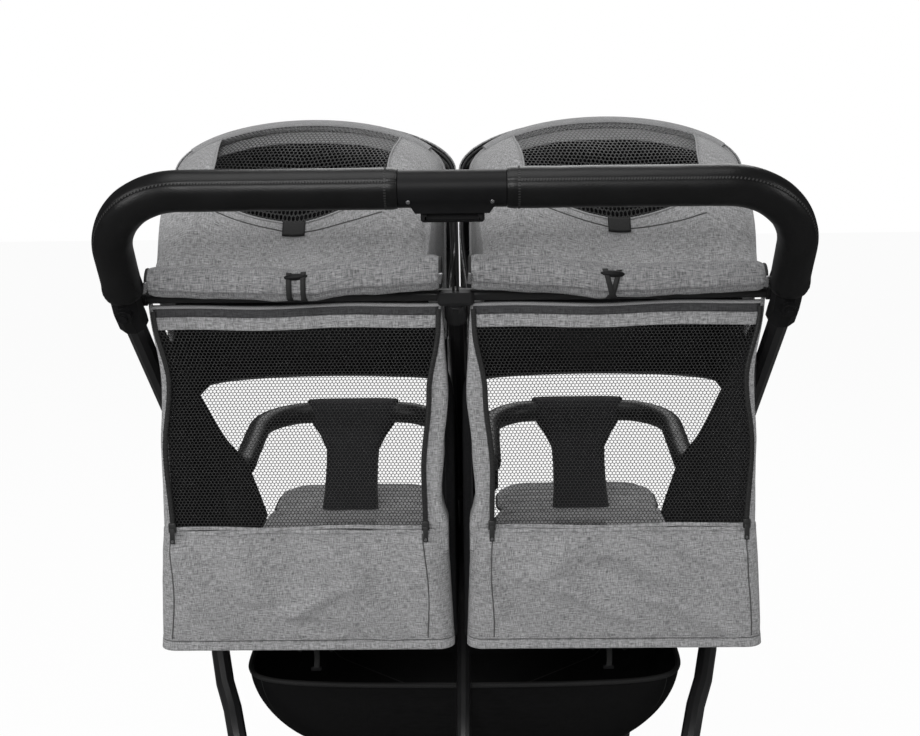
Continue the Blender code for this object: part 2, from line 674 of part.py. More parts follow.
def build_handle(push_frame):
    """The bent core tube, its two sewn grips and the sleeve in the middle."""
    path = handle_path()
    pieces = [tube("handlebar", path, HANDLE_CORE_RADIUS, BLACK_PAINT)]
    for word, side in SIDES:
        half = [place for place in path if place.x * side > 0]
        if side < 0:
            half.reverse()
        half.insert(0, Vector((side * (SLEEVE_HALF + GAP), HANDLE_Y, HANDLE_Z)))
        collar = half[-1] + (half[-2] - half[-1]).normalized() * 0.010
        half[-1:] = [collar + (half[-2] - collar).normalized() * 0.004, collar,
                     half[-1] + (collar - half[-1]).normalized() * GAP]
        swell = [1.0] * (len(half) - 2) + [1.06, 1.06]
        grip = as_mesh(tube("grip_" + word, half, GRIP_RADIUS, LEATHERETTE, 4, swell))
        cut(grip, handle_bore("grip_bore_" + word))
        pieces.append(grip)
    sleeve = rod("handle_hub", (-SLEEVE_HALF, HANDLE_Y, HANDLE_Z),
                 (SLEEVE_HALF, HANDLE_Y, HANDLE_Z), SLEEVE_RADIUS, BLACK_PLASTIC, sides=20)
    top = HANDLE_Z - SLEEVE_RADIUS * 0.6
    foot = HANDLE_Z - SLEEVE_RADIUS - GUIDE_DROP
    rings = [[(across, HANDLE_Y - depth, z), (-across, HANDLE_Y - depth, z),
              (-across, HANDLE_Y + depth, z), (across, HANDLE_Y + depth, z)]
             for z, across, depth in ((top, 0.044, 0.014), (foot, GUIDE_HALF, 0.011))]
    join(sleeve, loft("lever_guide", rings, BLACK_PLASTIC))
    cut(sleeve,
        handle_bore("sleeve_bore"),
        box("guide_slot", (-LEVER_HALF - PLAY, HANDLE_Y - 0.0065, foot - 0.01),
            (LEVER_HALF + PLAY, HANDLE_Y + 0.0065, HANDLE_Z - HANDLE_CORE_RADIUS),
            BLACK_PLASTIC),
        box("sleeve_flat",
            (-SLEEVE_HALF - 0.01, HANDLE_Y - 0.012, HANDLE_Z + SLEEVE_RADIUS - SLEEVE_FLAT),
            (SLEEVE_HALF + 0.01, HANDLE_Y + 0.012, HANDLE_Z + SLEEVE_RADIUS + 0.01),
            BLACK_PLASTIC))
    pieces.append(sleeve)
    for piece in pieces:
        carry(piece, push_frame)
    return foot


def build_release_lever(lever_carrier, guide_foot):
    """The finger lever, grooved at its rear, that is squeezed up into its guide."""
    low = guide_foot - RELEASE_TRAVEL - 0.003
    top = HANDLE_Z - HANDLE_CORE_RADIUS - RELEASE_TRAVEL - PLAY - GAP
    lever = box("release_lever", (-LEVER_HALF, HANDLE_Y - 0.006, low),
                (LEVER_HALF, HANDLE_Y + 0.006, top), BLACK_PLASTIC, 0.002)
    cut(lever, box("lever_groove", (-LEVER_HALF * 0.8, HANDLE_Y - 0.007, low + 0.0025),
                   (LEVER_HALF * 0.8, HANDLE_Y - 0.003, guide_foot - PLAY), BLACK_PLASTIC))
    carry(lever, lever_carrier)


def build_handle_joints(push_frame):
    """The bent sockets that join the handlebar to the push tubes."""
    for word, side in SIDES:
        x = side * FRAME_HALF
        top = polar(HANDLE_JOINT_UPPER, HANDLE_ANGLE, *HANDLE_JOINT)
        foot = polar(PUSH_LENGTH - HANDLE_JOINT_LOWER, PUSH_ANGLE)
        joint = as_mesh(tube("handle_joint_" + word,
                             rounded_path([at(x, top), at(x, HANDLE_JOINT), at(x, foot)],
                                          0.030, 3), HANDLE_JOINT_RADIUS, BLACK_PLASTIC))
        back = at(x, (HANDLE_JOINT[0] - HANDLE_JOINT_RADIUS * 0.90, HANDLE_JOINT[1] - 0.004))
        step = Vector((0.0, -0.0060, -0.0040))
        boss = rod("joint_boss_" + word, back - step, back + step, 0.0085, BLACK_PLASTIC,
                   sides=14)
        rivet = rod("joint_rivet_" + word, back, back + step * 1.5, 0.0045, BLACK_PLASTIC,
                    sides=10)
        join(joint, boss, rivet)
        carry(joint, push_frame)


def build_cross_bar(push_frame):
    half = FRAME_HALF - 0.004
    bar = rod("cross_bar", at(-half, CROSS_BAR), at(half, CROSS_BAR), CROSS_BAR_RADIUS,
              BLACK_PAINT, sides=12)
    for word, side in SIDES:
        x = side * FRAME_HALF
        join(bar, rod("cross_bar_end_" + word, at(x - side * 0.0170, CROSS_BAR),
                      at(x - side * 0.0118, CROSS_BAR), 0.0088, BLACK_PLASTIC, sides=20))
        cut(bar, as_mesh(tube("cross_bar_saddle_" + word,
                              [at(x, polar(PUSH_LENGTH * 0.7, PUSH_ANGLE)),
                               at(x, polar(PUSH_LENGTH * 1.1, PUSH_ANGLE))],
                              HANDLE_JOINT_RADIUS + GAP, BLACK_PAINT)))
    carry(bar, push_frame)


def build_flap_rolls(push_frame):
    """The window covers, rolled up and tied over the cross bar."""
    for word, side in SIDES:
        centre = side * (FLAP_ROLL_OUTER + FLAP_ROLL_INNER) / 2
        half = (FLAP_ROLL_OUTER - FLAP_ROLL_INNER) / 2
        rings = []
        for share, scale in ((-1.0, 0.62), (-0.985, 0.84), (-0.9, 0.98), (-0.5, 0.95),
                             (-0.12, 1.0), (0.0, ROLL_WAIST), (0.12, 1.0), (0.5, 0.96),
                             (0.9, 0.98), (0.985, 0.84), (1.0, 0.62)):
            ring = []
            for number in range(14):
                angle = 2 * math.pi * number / 14
                radius = FLAP_ROLL_RADIUS * scale
                ring.append((centre + share * half,
                             FLAP_ROLL[0] + radius * math.cos(angle),
                             FLAP_ROLL[1] + radius * math.sin(angle)))
            rings.append(ring)
        roll = loft("flap_roll_" + word, rings, GREY_CLOTH)
        carry(roll, push_frame)


# Rear walls of the seats

def hex_net(half_width, height, columns, rows, strand):
    """A flat net of six-sided holes, cut to a rectangle in the XZ plane."""
    pitch_x = 2 * half_width / columns
    pitch_z = height / (rows - 0.5)
    work = bmesh.new()
    corner = pitch_z / 3
    for row in range(-1, rows + 1):
        for column in range(-1, columns + 1):
            x = -half_width + (column + 0.5 * (row % 2)) * pitch_x
            z = row * pitch_z
            ring = [(x, z - 2 * corner), (x + pitch_x / 2, z - corner),
                    (x + pitch_x / 2, z + corner), (x, z + 2 * corner),
                    (x - pitch_x / 2, z + corner), (x - pitch_x / 2, z - corner)]
            work.faces.new([work.verts.new((across, 0.0, up)) for across, up in ring])
    bmesh.ops.remove_doubles(work, verts=work.verts, dist=WELD)
    for place, normal in (((-half_width, 0, 0), (-1, 0, 0)), ((half_width, 0, 0), (1, 0, 0)),
                          ((0, 0, 0), (0, 0, -1)), ((0, 0, height), (0, 0, 1))):
        bmesh.ops.bisect_plane(work, geom=work.verts[:] + work.edges[:] + work.faces[:],
                               plane_co=place, plane_no=normal, clear_outer=True)
    faces = [face for face in work.faces]
    bmesh.ops.inset_individual(work, faces=faces, thickness=strand / 2, use_even_offset=True)
    bmesh.ops.delete(work, geom=faces, context="FACES")
    return work


def build_mesh_windows(push_frame):
    """The see-through rear walls: a net in a hem, with cloth returns at both sides."""
    top_z = CROSS_BAR[1] - CROSS_BAR_RADIUS - GAP
    height = top_z - WINDOW_SILL_Z
    half = WALL_TOP_HALF - PLAY * 2
    hem_side, hem_top, hem_foot = 0.014, 0.026, 0.008
    for word, side in SIDES:
        work = hex_net(half - hem_side, height - hem_top - hem_foot, NET_COLUMNS, NET_ROWS,
                       NET_STRAND)
        bmesh.ops.translate(work, vec=(0, 0, hem_foot), verts=work.verts)
        rim = [edge for edge in work.edges if edge.is_boundary and on_rim(
            edge, half - hem_side, hem_foot, height - hem_top)]
        for vert in new_verts(bmesh.ops.extrude_edge_only(work, edges=rim)):
            if abs(abs(vert.co.x) - (half - hem_side)) < WELD:
                vert.co.x = math.copysign(half, vert.co.x)
            if abs(vert.co.z - hem_foot) < WELD:
                vert.co.z = 0.0
            if abs(vert.co.z - (height - hem_top)) < WELD:
                vert.co.z = height
        sides = [edge for edge in work.edges if edge.is_boundary and
                 all(abs(abs(vert.co.x) - half) < WELD for vert in edge.verts)]
        for vert in new_verts(bmesh.ops.extrude_edge_only(work, edges=sides)):
            share = vert.co.z / height
            vert.co.y += GUSSET_DEPTH + (GUSSET_TOP_DEPTH - GUSSET_DEPTH) * share
        window = link_mesh("mesh_window_" + word, work, BLACK_NET)
        thicken = window.modifiers.new("cloth", "SOLIDIFY")
        thicken.thickness = FABRIC * 0.8
        thicken.offset = 0.0
        lean = math.atan2(WALL_MIDDLE_Y - CROSS_BAR[0], height)
        window.rotation_euler = (lean, 0.0, 0.0)
        window.location = (side * SEAT_CENTRE, WALL_MIDDLE_Y, WINDOW_SILL_Z)
        carry(window, push_frame)


def new_verts(grown):
    return [item for item in grown["geom"] if isinstance(item, bmesh.types.BMVert)]


def on_rim(edge, half_width, low, high):
    for axis, value in ((0, half_width), (0, -half_width), (2, low), (2, high)):
        if all(abs(vert.co[axis] - value) < WELD for vert in edge.verts):
            return True
    return False


def build_back_panels():
    """The cloth end of each reclined seat, with its side returns and piped hem."""
    for word, side in SIDES:
        rows = []
        for step in range(5):
            share = step / 4
            z = WALL_FOOT_Z + (WINDOW_SILL_Z - GAP - WALL_FOOT_Z) * share
            half = WALL_FOOT_HALF + (WALL_TOP_HALF - WALL_FOOT_HALF) * share
            rear = WALL_FOOT_Y + (WALL_MIDDLE_Y - WALL_FOOT_Y) * math.sin(share * math.pi / 2)
            corners = [(-half, rear + PANEL_DEPTH, z), (-half, rear, z), (half, rear, z),
                       (half, rear + PANEL_DEPTH, z)]
            rows.append([place + Vector((side * SEAT_CENTRE, 0, 0))
                         for place in rounded_path(corners, PANEL_CORNER, 3)])
        panel = shell("back_panel_" + word, rows, FABRIC, GREY_CLOTH)
        piping = as_mesh(tube("piping_" + word, rows[0], PIPING_RADIUS, GREY_CLOTH,
                              resolution=1))
        join(panel, piping)


# Canopies

def bow_profile(half_width, arch_points=4):
    """One bow from side to side as (across, reach); the reach is 1 at its crown."""
    profile = [(-half_width, BOW_FOOT)]
    for step in range(2 * arch_points + 1):
        angle = math.pi * (1 - step / (2 * arch_points))
        across = math.copysign(abs(math.cos(angle)) ** BOW_SQUARENESS, math.cos(angle))
        rise = abs(math.sin(angle)) ** BOW_SQUARENESS
        if step in (0, 2 * arch_points):
            rise = 0.0
            across = round(across)
        profile.append((across * half_width, BOW_SHOULDER + (1 - BOW_SHOULDER) * rise))
    profile.append((half_width, BOW_FOOT))
    return profile


def canopy_rows(centre_x, half_width, radius, angles):
    rows = []
    for angle in angles:
        crown = Vector(polar(radius, angle, CANOPY_Y, CANOPY_Z))
        pivot = Vector((CANOPY_Y, CANOPY_Z))
        rows.append([at(centre_x + across, pivot.lerp(crown, reach))
                     for across, reach in bow_profile(half_width)])
    return rows


def build_canopy_fronts(carriers):
    """The hood ahead of the ridge bow, which swings back over the rear one."""
    half_width = CANOPY_HALF_WIDTH + CANOPY_NESTING
    radius = CANOPY_RADIUS + CANOPY_NESTING
    steps = 10
    angles = [BRIM_ANGLE + (RIDGE_ANGLE - BRIM_ANGLE) * step / steps
              for step in range(steps + 1)]
    for word, side in SIDES:
        canopy = shell("canopy_front_" + word,
                       canopy_rows(side * SEAT_CENTRE, half_width, radius, angles),
                       CANOPY_CLOTH, GREY_CLOTH)
        carry(canopy, carriers[word])


def build_canopy_rears(push_frame):
    """The fixed hood behind the ridge bow, down to the rolled flap."""
    crown_start = Vector(polar(CANOPY_RADIUS - CANOPY_PLAY, RIDGE_ANGLE, CANOPY_Y, CANOPY_Z))
    crown_end = Vector(polar(FLAP_ROLL_RADIUS + CANOPY_CLOTH / 2 - 3 * GAP, 33, *FLAP_ROLL))
    foot_start = Vector((CANOPY_Y, CANOPY_Z)).lerp(crown_start, BOW_FOOT)
    foot_end = Vector((CROSS_BAR[0] + 0.020, CROSS_BAR[1] - 0.004))
    bulge = Vector(CANOPY_BULGE)
    steps = 5
    for word, side in SIDES:
        rows = []
        for step in range(steps + 1):
            share = step / steps
            crown = crown_start.lerp(crown_end, share) + bulge * math.sin(math.pi * share)
            foot = foot_start.lerp(foot_end, share)
            row = []
            for across, reach in bow_profile(CANOPY_HALF_WIDTH):
                level = (reach - BOW_FOOT) / (1 - BOW_FOOT)
                row.append(at(side * SEAT_CENTRE + across, foot.lerp(crown, level)))
            rows.append(row)
        canopy = shell("canopy_rear_" + word, rows, CANOPY_CLOTH, GREY_CLOTH)
        carry(canopy, push_frame)


def build_side_wings():
    """Cloth cheeks that close each seat between its tubes and the pan."""
    rear_x = SEAT_CENTRE + WALL_TOP_HALF - 0.0085
    front_x = SEAT_CENTRE + BACKREST_HIP_HALF + 0.0045
    inner_x = SEAT_CENTRE - WALL_TOP_HALF + 0.006
    foot_z = HIP_Z + HIP_RADIUS + 0.012
    rear = WALL_FOOT_Y + PIPING_RADIUS - 3 * GAP
    for word, side in SIDES:
        for kind, near_x, far_x, front in (("", front_x, rear_x, HUB_Y + 0.064),
                                           ("inner_", inner_x, inner_x, HUB_Y + 0.010)):
            rows = []
            for step in range(7):
                share = step / 6
                y = rear + (front - rear) * share
                x = side * (far_x + (near_x - far_x) * share)
                tube_z = HUB_Z + (HUB_Y - y) * math.tan(math.radians(PUSH_SLOPE))
                top = tube_z - 0.004 - 0.020 * math.sin(math.pi * share)
                top = max(top, foot_z + 0.030)
                rows.append([(x, y, foot_z + (top - foot_z) * level / 3)
                             for level in range(4)])
            shell("side_wing_" + kind + word, rows, FABRIC, BLACK_CLOTH)


# Seats

def pad_rings(centre_x, stations, low):
    """Rings along a cushion from (y, half width, low rise, high) stations."""
    return [pad_ring(y, centre_x, half, low + rise, high)
            for y, half, rise, high in stations]


def channelled(start, end, half_width, high, channels, round_end=0.0):
    """Stations of a cushion with sewn channels across it, flat under its start."""
    stations = [(start, half_width * 0.90, 0.0, high - 0.012),
                (start + 0.004, half_width * 0.97, 0.0, high - 0.005)]
    pitch = (end - start - 0.016) / channels
    for number in range(channels):
        seam = start + 0.008 + number * pitch
        if number:
            stations.append((seam, half_width, 0.0, high - CHANNEL_DEPTH))
        for share in (0.25, 0.75):
            stations.append((seam + share * pitch, half_width, 0.0, high))
    stations += [(end - 0.004, half_width * 0.97, 0.002, high - 0.005),
                 (end, half_width * 0.90, 0.008, high - 0.012)]
    if round_end:
        length = end - start
        shaped = []
        for y, half, rise, top in stations:
            beyond = max(0.0, (y - (end - round_end)) / round_end)
            shaped.append((y, half * math.sqrt(max(0.06, 1 - 0.75 * beyond ** 2)), rise, top))
        stations = shaped
    return stations


def build_seats():
    for word, side in SIDES:
        stations = channelled(HIP_Y + HIP_RADIUS + 0.007, SEAT_FRONT_Y - 0.004,
                              SEAT_HALF_WIDTH, PAN_LOW + SEAT_THICKNESS, 3)
        loft("seat_" + word, pad_rings(side * SEAT_CENTRE, stations, PAN_LOW), GREY_CLOTH)


def recline_rise(y):
    """How far the reclined backrest has climbed above the hip, towards its head."""
    return max(0.0, HIP_Y - y) * math.tan(math.radians(RECLINE_SLOPE))


def build_backrests(carriers):
    for word, side in SIDES:
        head = HIP_Y - BACKREST_LENGTH
        stations = []
        count = 10
        for step in range(count + 1):
            share = step / count
            y = HIP_Y - BACKREST_LENGTH * share
            widening = max(0.0, share - 0.35) / 0.65
            half = BACKREST_HIP_HALF + (BACKREST_HEAD_HALF - BACKREST_HIP_HALF) * widening
            seam = CHANNEL_DEPTH * (1 if step % 3 == 0 else 0)
            stations.append((y, half, 0.0, HIP_Z + HIP_RADIUS - seam))
        hip = [(HIP_Y + HIP_RADIUS * math.sin(math.radians(angle)), BACKREST_HIP_HALF,
                HIP_RADIUS * (1 - math.cos(math.radians(angle))),
                HIP_Z + HIP_RADIUS * math.cos(math.radians(angle)))
               for angle in (75, 50, 25)]
        tail = [(head - 0.003, BACKREST_HEAD_HALF * 0.98, 0.004, HIP_Z + HIP_RADIUS - 0.008),
                (head - 0.005, BACKREST_HEAD_HALF * 0.93, 0.010, HIP_Z + HIP_RADIUS - 0.014)]
        stations = hip + stations + tail
        rings = [[(x, y, z + recline_rise(y)) for x, y, z in ring]
                 for ring in pad_rings(side * SEAT_CENTRE, stations, PAN_LOW)]
        rest = loft("backrest_" + word, rings, BLACK_CLOTH)
        reach = BACKREST_HIP_HALF + CUTTER_REACH
        cut(rest, rod("hip_sleeve_" + word, (side * SEAT_CENTRE - reach, HIP_Y, HIP_Z),
                      (side * SEAT_CENTRE + reach, HIP_Y, HIP_Z), SEAT_TUBE_RADIUS,
                      BLACK_CLOTH, sides=12))
        carry(rest, carriers[word])


def build_recline_locks(carriers):
    """The pinch locks of the recline straps, with the strap's hanging end."""
    top = PAN_LOW + recline_rise(LOCK_Y + 0.004) - GAP
    for word, side in SIDES:
        x = side * SEAT_CENTRE
        lock = box("recline_lock_" + word, (x - LOCK_HALF, LOCK_Y - 0.004, top - LOCK_HEIGHT),
                   (x + LOCK_HALF, LOCK_Y + 0.004, top), BLACK_PLASTIC, 0.0015)
        for hand in (-1, 1):
            wing = box("lock_wing", (-0.003, -0.004, -0.012), (0.003, 0.004, 0.012),
                       BLACK_PLASTIC, 0.001)
            wing.rotation_euler = (0.0, math.radians(hand * -28), 0.0)
            wing.location = (x + hand * (LOCK_HALF + 0.001), LOCK_Y, top - 0.016)
            join(lock, wing)
        join(lock, box("lock_strap", (x - 0.010, LOCK_Y - 0.001, top - STRAP_DROP),
                       (x + 0.010, LOCK_Y + 0.001, top - 0.020), BLACK_PLASTIC))
        carry(lock, carriers[word])


def build_legrests(carriers):
    low = SEAT_TUBE_Z + SEAT_TUBE_RADIUS + GAP
    for word, side in SIDES:
        stations = channelled(SEAT_FRONT_Y - 0.0015, SEAT_FRONT_Y + LEGREST_LENGTH,
                              LEGREST_HALF, low + LEGREST_THICKNESS, 4, round_end=0.07)
        rest = loft("legrest_" + word, pad_rings(side * SEAT_CENTRE, stations, low), GREY_CLOTH)
        carry(rest, carriers[word])


# Bumper bars

def bumper_path(centre_x, back_y):
    """The bar's bow from its inner plug round to its outer plug."""
    front_z = HUB_Z + BUMPER_RISE
    corners = [(centre_x - BUMPER_HALF, back_y, HUB_Z),
               (centre_x - BUMPER_HALF, BUMPER_REACH, front_z),
               (centre_x + BUMPER_HALF, BUMPER_REACH, front_z),
               (centre_x + BUMPER_HALF, back_y, HUB_Z)]
    return rounded_path(corners, BUMPER_CORNER_RADIUS, 4)


def build_bumper_bars(carriers):
    for word, side in SIDES:
        centre = side * SEAT_CENTRE
        bar = as_mesh(tube("bumper_bar_" + word, bumper_path(centre, BUMPER_BACK_Y + 0.005),
                           BUMPER_RADIUS, BLACK_FOAM))
        for hand in (-1, 1):
            x = centre + hand * BUMPER_HALF
            join(bar, box("bumper_plug", (x - PLUG_WIDTH / 2, BUMPER_BACK_Y - PLUG_LENGTH,
                                          HUB_Z - PLUG_HEIGHT / 2),
                          (x + PLUG_WIDTH / 2, BUMPER_BACK_Y + 0.008,
                           HUB_Z + PLUG_HEIGHT / 2), BLACK_PLASTIC))
            join(bar, rod("bumper_button", (x, BUMPER_BACK_Y + 0.022, HUB_Z),
                          (x + hand * (BUMPER_RADIUS + 0.002), BUMPER_BACK_Y + 0.022,
                           HUB_Z + 0.003), 0.008, BLACK_PLASTIC, sides=12))
        carry(bar, carriers[word])


def build_crotch_covers(carriers):
    """The hourglass cover from the seat's front edge up and over the bar."""
    foot_z = PAN_LOW + SEAT_THICKNESS + GAP
    bar_z = HUB_Z + BUMPER_RISE
    hold = BUMPER_RADIUS + GAP + COVER_WALL
    for word, side in SIDES:
        centre = side * SEAT_CENTRE
        rings = []
        stations = ((foot_z, COVER_FOOT_Y, COVER_WAIST_HALF * 1.05, 0.006),
                    (foot_z + 0.05, COVER_FOOT_Y + 0.040, COVER_WAIST_HALF, 0.006),
                    (bar_z - 0.052, BUMPER_REACH - 0.026, COVER_WAIST_HALF * 1.06, 0.007),
                    (bar_z - 0.032, BUMPER_REACH - 0.010, COVER_TOP_HALF * 0.74, hold * 0.65),
                    (bar_z - 0.018, BUMPER_REACH - 0.002, COVER_TOP_HALF * 0.89, hold * 0.92),
                    (bar_z - 0.006, BUMPER_REACH, COVER_TOP_HALF * 0.97, hold),
                    (bar_z + 0.010, BUMPER_REACH, COVER_TOP_HALF, hold),
                    (bar_z + hold, BUMPER_REACH, COVER_TOP_HALF, hold * 0.45))
        for z, y, half, depth in stations:
            ring = []
            for number in range(16):
                angle = 2 * math.pi * (number + 0.5) / 16
                across = math.copysign(abs(math.cos(angle)) ** 0.35, math.cos(angle))
                through = math.copysign(abs(math.sin(angle)) ** 0.6, math.sin(angle))
                ring.append((centre + half * across, y + depth * through, z))
            rings.append(ring)
        cover = loft("crotch_cover_" + word, rings, BLACK_CLOTH)
        cut(cover, as_mesh(tube("cover_tunnel_" + word, bumper_path(centre, BUMPER_BACK_Y + 0.005),
                                BUMPER_RADIUS + GAP, BLACK_CLOTH)))
        carry(cover, carriers[word])


# Basket

def basket_ring(half, inset, z, corner):
    """One level of the basket: a rectangle with rounded corners."""
    rear, front = BASKET_REAR_Y + inset, BASKET_FRONT_Y - inset
    points = []
    for x, y, heading in ((-half, rear, 180), (half, rear, 270), (half, front, 0),
                          (-half, front, 90)):
        centre = (x - math.copysign(corner, x), y + (corner if y == rear else -corner))
        for step in range(4):
            along, up = polar(corner, heading + step * 30, *centre)
            points.append((along, up, z))
    return points


def build_basket():
    """The cloth basket: an open-topped hammock hung between the legs."""
    outer, inner = [], []
    for share in (0.0, 0.22, 0.45, 0.66, 0.85, 1.0):
        wide = math.sqrt(1 - (0.90 * share) ** 2)
        inset = 0.085 * (1 - math.sqrt(1 - (0.95 * share) ** 2))
        half = BASKET_TOP_HALF * wide
        z = BASKET_RIM_Z - BASKET_DEPTH * share
        outer.append(basket_ring(half, inset, z, BASKET_CORNER_RADIUS))
        inner.append(basket_ring(half - BASKET_WALL, inset + BASKET_WALL,
                                 z + (BASKET_WALL if share else 0.0), BASKET_CORNER_RADIUS))
    loft("basket", list(reversed(outer)) + inner, BLACK_CLOTH)


# Wheels, casters and brake

def wheel_profile(bead, tread, width):
    """A closed tyre section, from its tread round to its bead."""
    half = width / 2
    depth = tread - bead
    return ((tread, half * 0.42), (tread, -half * 0.42), (tread - depth * 0.22, -half * 0.88),
            (tread - depth * 0.60, -half), (bead, -half * 0.72), (bead, half * 0.72),
            (tread - depth * 0.60, half), (tread - depth * 0.22, half * 0.88))


def build_wheel(words, centre, tread, width, depth, stub, steps, parent, hub_half):
    """A tyre on a spoked rim that turns on its axle stub."""
    tyre_name, rim_name = words
    bead = tread - depth
    tyre = turned(tyre_name, wheel_profile(bead, tread, width), centre, steps, TYRE_RUBBER)
    seat = bead - GAP
    hub = tread * 0.20
    flange = width * 0.36
    lip = seat - 0.010
    bore = stub + GAP
    profile = ((seat, flange), (seat, -flange), (lip, -flange), (lip - 0.004, -0.004),
               (hub, -0.005), (hub, -hub_half), (bore, -hub_half), (bore, hub_half),
               (hub, hub_half), (hub, 0.005), (lip - 0.004, 0.004), (lip, flange))
    rim = turned(rim_name, profile, centre, steps, BLACK_PLASTIC)
    windows = 5
    for number in range(windows):
        spin = 360 * number / windows
        low, high = hub + 0.009, lip - 0.008
        outline = []
        for radius, spread in ((low, 22), (low, -22), (high, -28), (high, 28)):
            outline.append(polar(radius, spin + spread, centre[1], centre[2]))
        cutter = plate_yz("rim_window", outline, centre[0] - 0.02, centre[0] + 0.02,
                          BLACK_PLASTIC)
        cut(rim, cutter)
    carry(tyre, parent)
    carry(rim, parent)


def build_front_frame(front_frame):
    foot = (FRONT_TUBE_Y, FRONT_TUBE_Z)
    leg_angle = math.degrees(math.atan2(FRONT_TUBE_Z - HUB_Z, FRONT_TUBE_Y - HUB_Y))
    saddle = FRONT_TUBE_RADIUS + GAP
    for word, side in SIDES:
        x = side * FRAME_HALF
        start = at(x, polar(HUB_RADIUS + 0.002, leg_angle))
        knee = at(x, (HUB_Y + (foot[0] - HUB_Y) * 0.55, HUB_Z + (foot[1] - HUB_Z) * 0.55))
        end = at(side * FRONT_LEG_FOOT_HALF, foot)
        leg = as_mesh(tube("front_leg_" + word, rounded_path([start, knee, end], 0.12, 3),
                           TUBE_RADIUS, BLACK_PAINT))
        inner, outer = sorted((side * (FRAME_HALF + GAP / 2), side * DISC_OUTER))
        disc = rod("front_disc_" + word, at(inner, (HUB_Y, HUB_Z)), at(outer, (HUB_Y, HUB_Z)),
                   HUB_RADIUS, BLACK_PAINT, sides=20)
        tongue = direction_box("front_tongue_" + word, inner + GAP, outer - GAP, 0.010,
                               HUB_RADIUS + 0.012, 0.009, leg_angle, BLACK_PAINT)
        join(leg, disc, tongue)
        cut(leg,
            rod("front_bore_" + word, at(x - CUTTER_REACH, (HUB_Y, HUB_Z)),
                at(x + CUTTER_REACH, (HUB_Y, HUB_Z)), HUB_PIN_RADIUS + PLAY, BLACK_PAINT,
                sides=12),
            rod("front_saddle_" + word, (side * (FRONT_LEG_FOOT_HALF - SADDLE_REACH), *foot),
                (side * (FRONT_LEG_FOOT_HALF + SADDLE_REACH), *foot), saddle, BLACK_PAINT,
                sides=20))
        carry(leg, front_frame)
    cross = rod("front_cross_tube", (-FRONT_LEG_FOOT_HALF - 0.014, *foot),
                (FRONT_LEG_FOOT_HALF + 0.014, *foot), FRONT_TUBE_RADIUS, BLACK_PAINT, sides=20)
    for word, side in SIDES:
        x = side * CASTER_HALF
        housing = rod("caster_housing_" + word, (x, CASTER_STEM_Y, HOUSING_FOOT_Z),
                      (x, CASTER_STEM_Y, FRONT_TUBE_Z + 0.018), HOUSING_RADIUS,
                      BLACK_PLASTIC)
        bridge = box("caster_bridge_" + word,
                     (x - 0.011, FRONT_TUBE_Y, FRONT_TUBE_Z - 0.010),
                     (x + 0.011, CASTER_STEM_Y, FRONT_TUBE_Z + 0.010), BLACK_PLASTIC)
        join(cross, housing, bridge)
        cut(cross, rod("stem_bore_" + word, (x, CASTER_STEM_Y, HOUSING_FOOT_Z - 0.01),
                       (x, CASTER_STEM_Y, HOUSING_FOOT_Z + STEM_LENGTH + PLAY),
                       CASTER_STEM_RADIUS + PLAY, BLACK_PLASTIC, sides=12))
    carry(cross, front_frame)


def build_casters(front_frame):
    crown_top = HOUSING_FOOT_Z - GAP
    crown_low = 2 * FRONT_WHEEL_RADIUS + 0.006
    axle_y = CASTER_STEM_Y - CASTER_TRAIL
    axle_z = FRONT_WHEEL_RADIUS
    inner = FRONT_TYRE_WIDTH / 2 + 0.003
    outer = inner + FORK_WALL
    for word, side in SIDES:
        x = side * CASTER_HALF
        swivel = carrier("swivel_" + word, (x, CASTER_STEM_Y, crown_top), front_frame)
        fork = box("caster_fork_" + word, (x - outer, axle_y - 0.012, crown_low),
                   (x + outer, CASTER_STEM_Y + 0.014, crown_top), BLACK_PLASTIC, 0.004)
        outline = ((axle_y - 0.012, crown_low + 0.004), (CASTER_STEM_Y + 0.010, crown_low + 0.004),
                   (axle_y + 0.014, axle_z - 0.004), (axle_y + 0.006, axle_z - 0.014),
                   (axle_y - 0.006, axle_z - 0.014), (axle_y - 0.014, axle_z - 0.004))
        for hand in (-1, 1):
            low, high = sorted((x + hand * inner, x + hand * outer))
            join(fork, plate_yz("fork_arm", outline, low, high, BLACK_PLASTIC))
        join(fork,
             rod("fork_axle", (x - outer - 0.002, axle_y, axle_z),
                 (x + outer + 0.002, axle_y, axle_z), CASTER_AXLE_RADIUS, BLACK_PAINT,
                 sides=12),
             rod("fork_stem", (x, CASTER_STEM_Y, crown_low + 0.006),
                 (x, CASTER_STEM_Y, crown_top + STEM_LENGTH), CASTER_STEM_RADIUS,
                 BLACK_PAINT, sides=12))
        carry(fork, swivel)
        spin = carrier("front_spin_" + word, (x, axle_y, axle_z), swivel)
        build_wheel(("front_tyre_" + word, "front_rim_" + word), (x, axle_y, axle_z),
                    FRONT_WHEEL_RADIUS, FRONT_TYRE_WIDTH, FRONT_TYRE_DEPTH, CASTER_AXLE_RADIUS,
                    20, spin, inner - PLAY)


def build_rear_wheels():
    for word, side in SIDES:
        centre = (side * REAR_TRACK_HALF, AXLE_Y, AXLE_Z)
        spin = carrier("rear_spin_" + word, centre)
        build_wheel(("rear_tyre_" + word, "rear_rim_" + word), centre, AXLE_Z,
                    REAR_TYRE_WIDTH, REAR_TYRE_DEPTH, STUB_RADIUS, 20, spin,
                    AXLE_END - 0.004 - REAR_TRACK_HALF - PLAY)


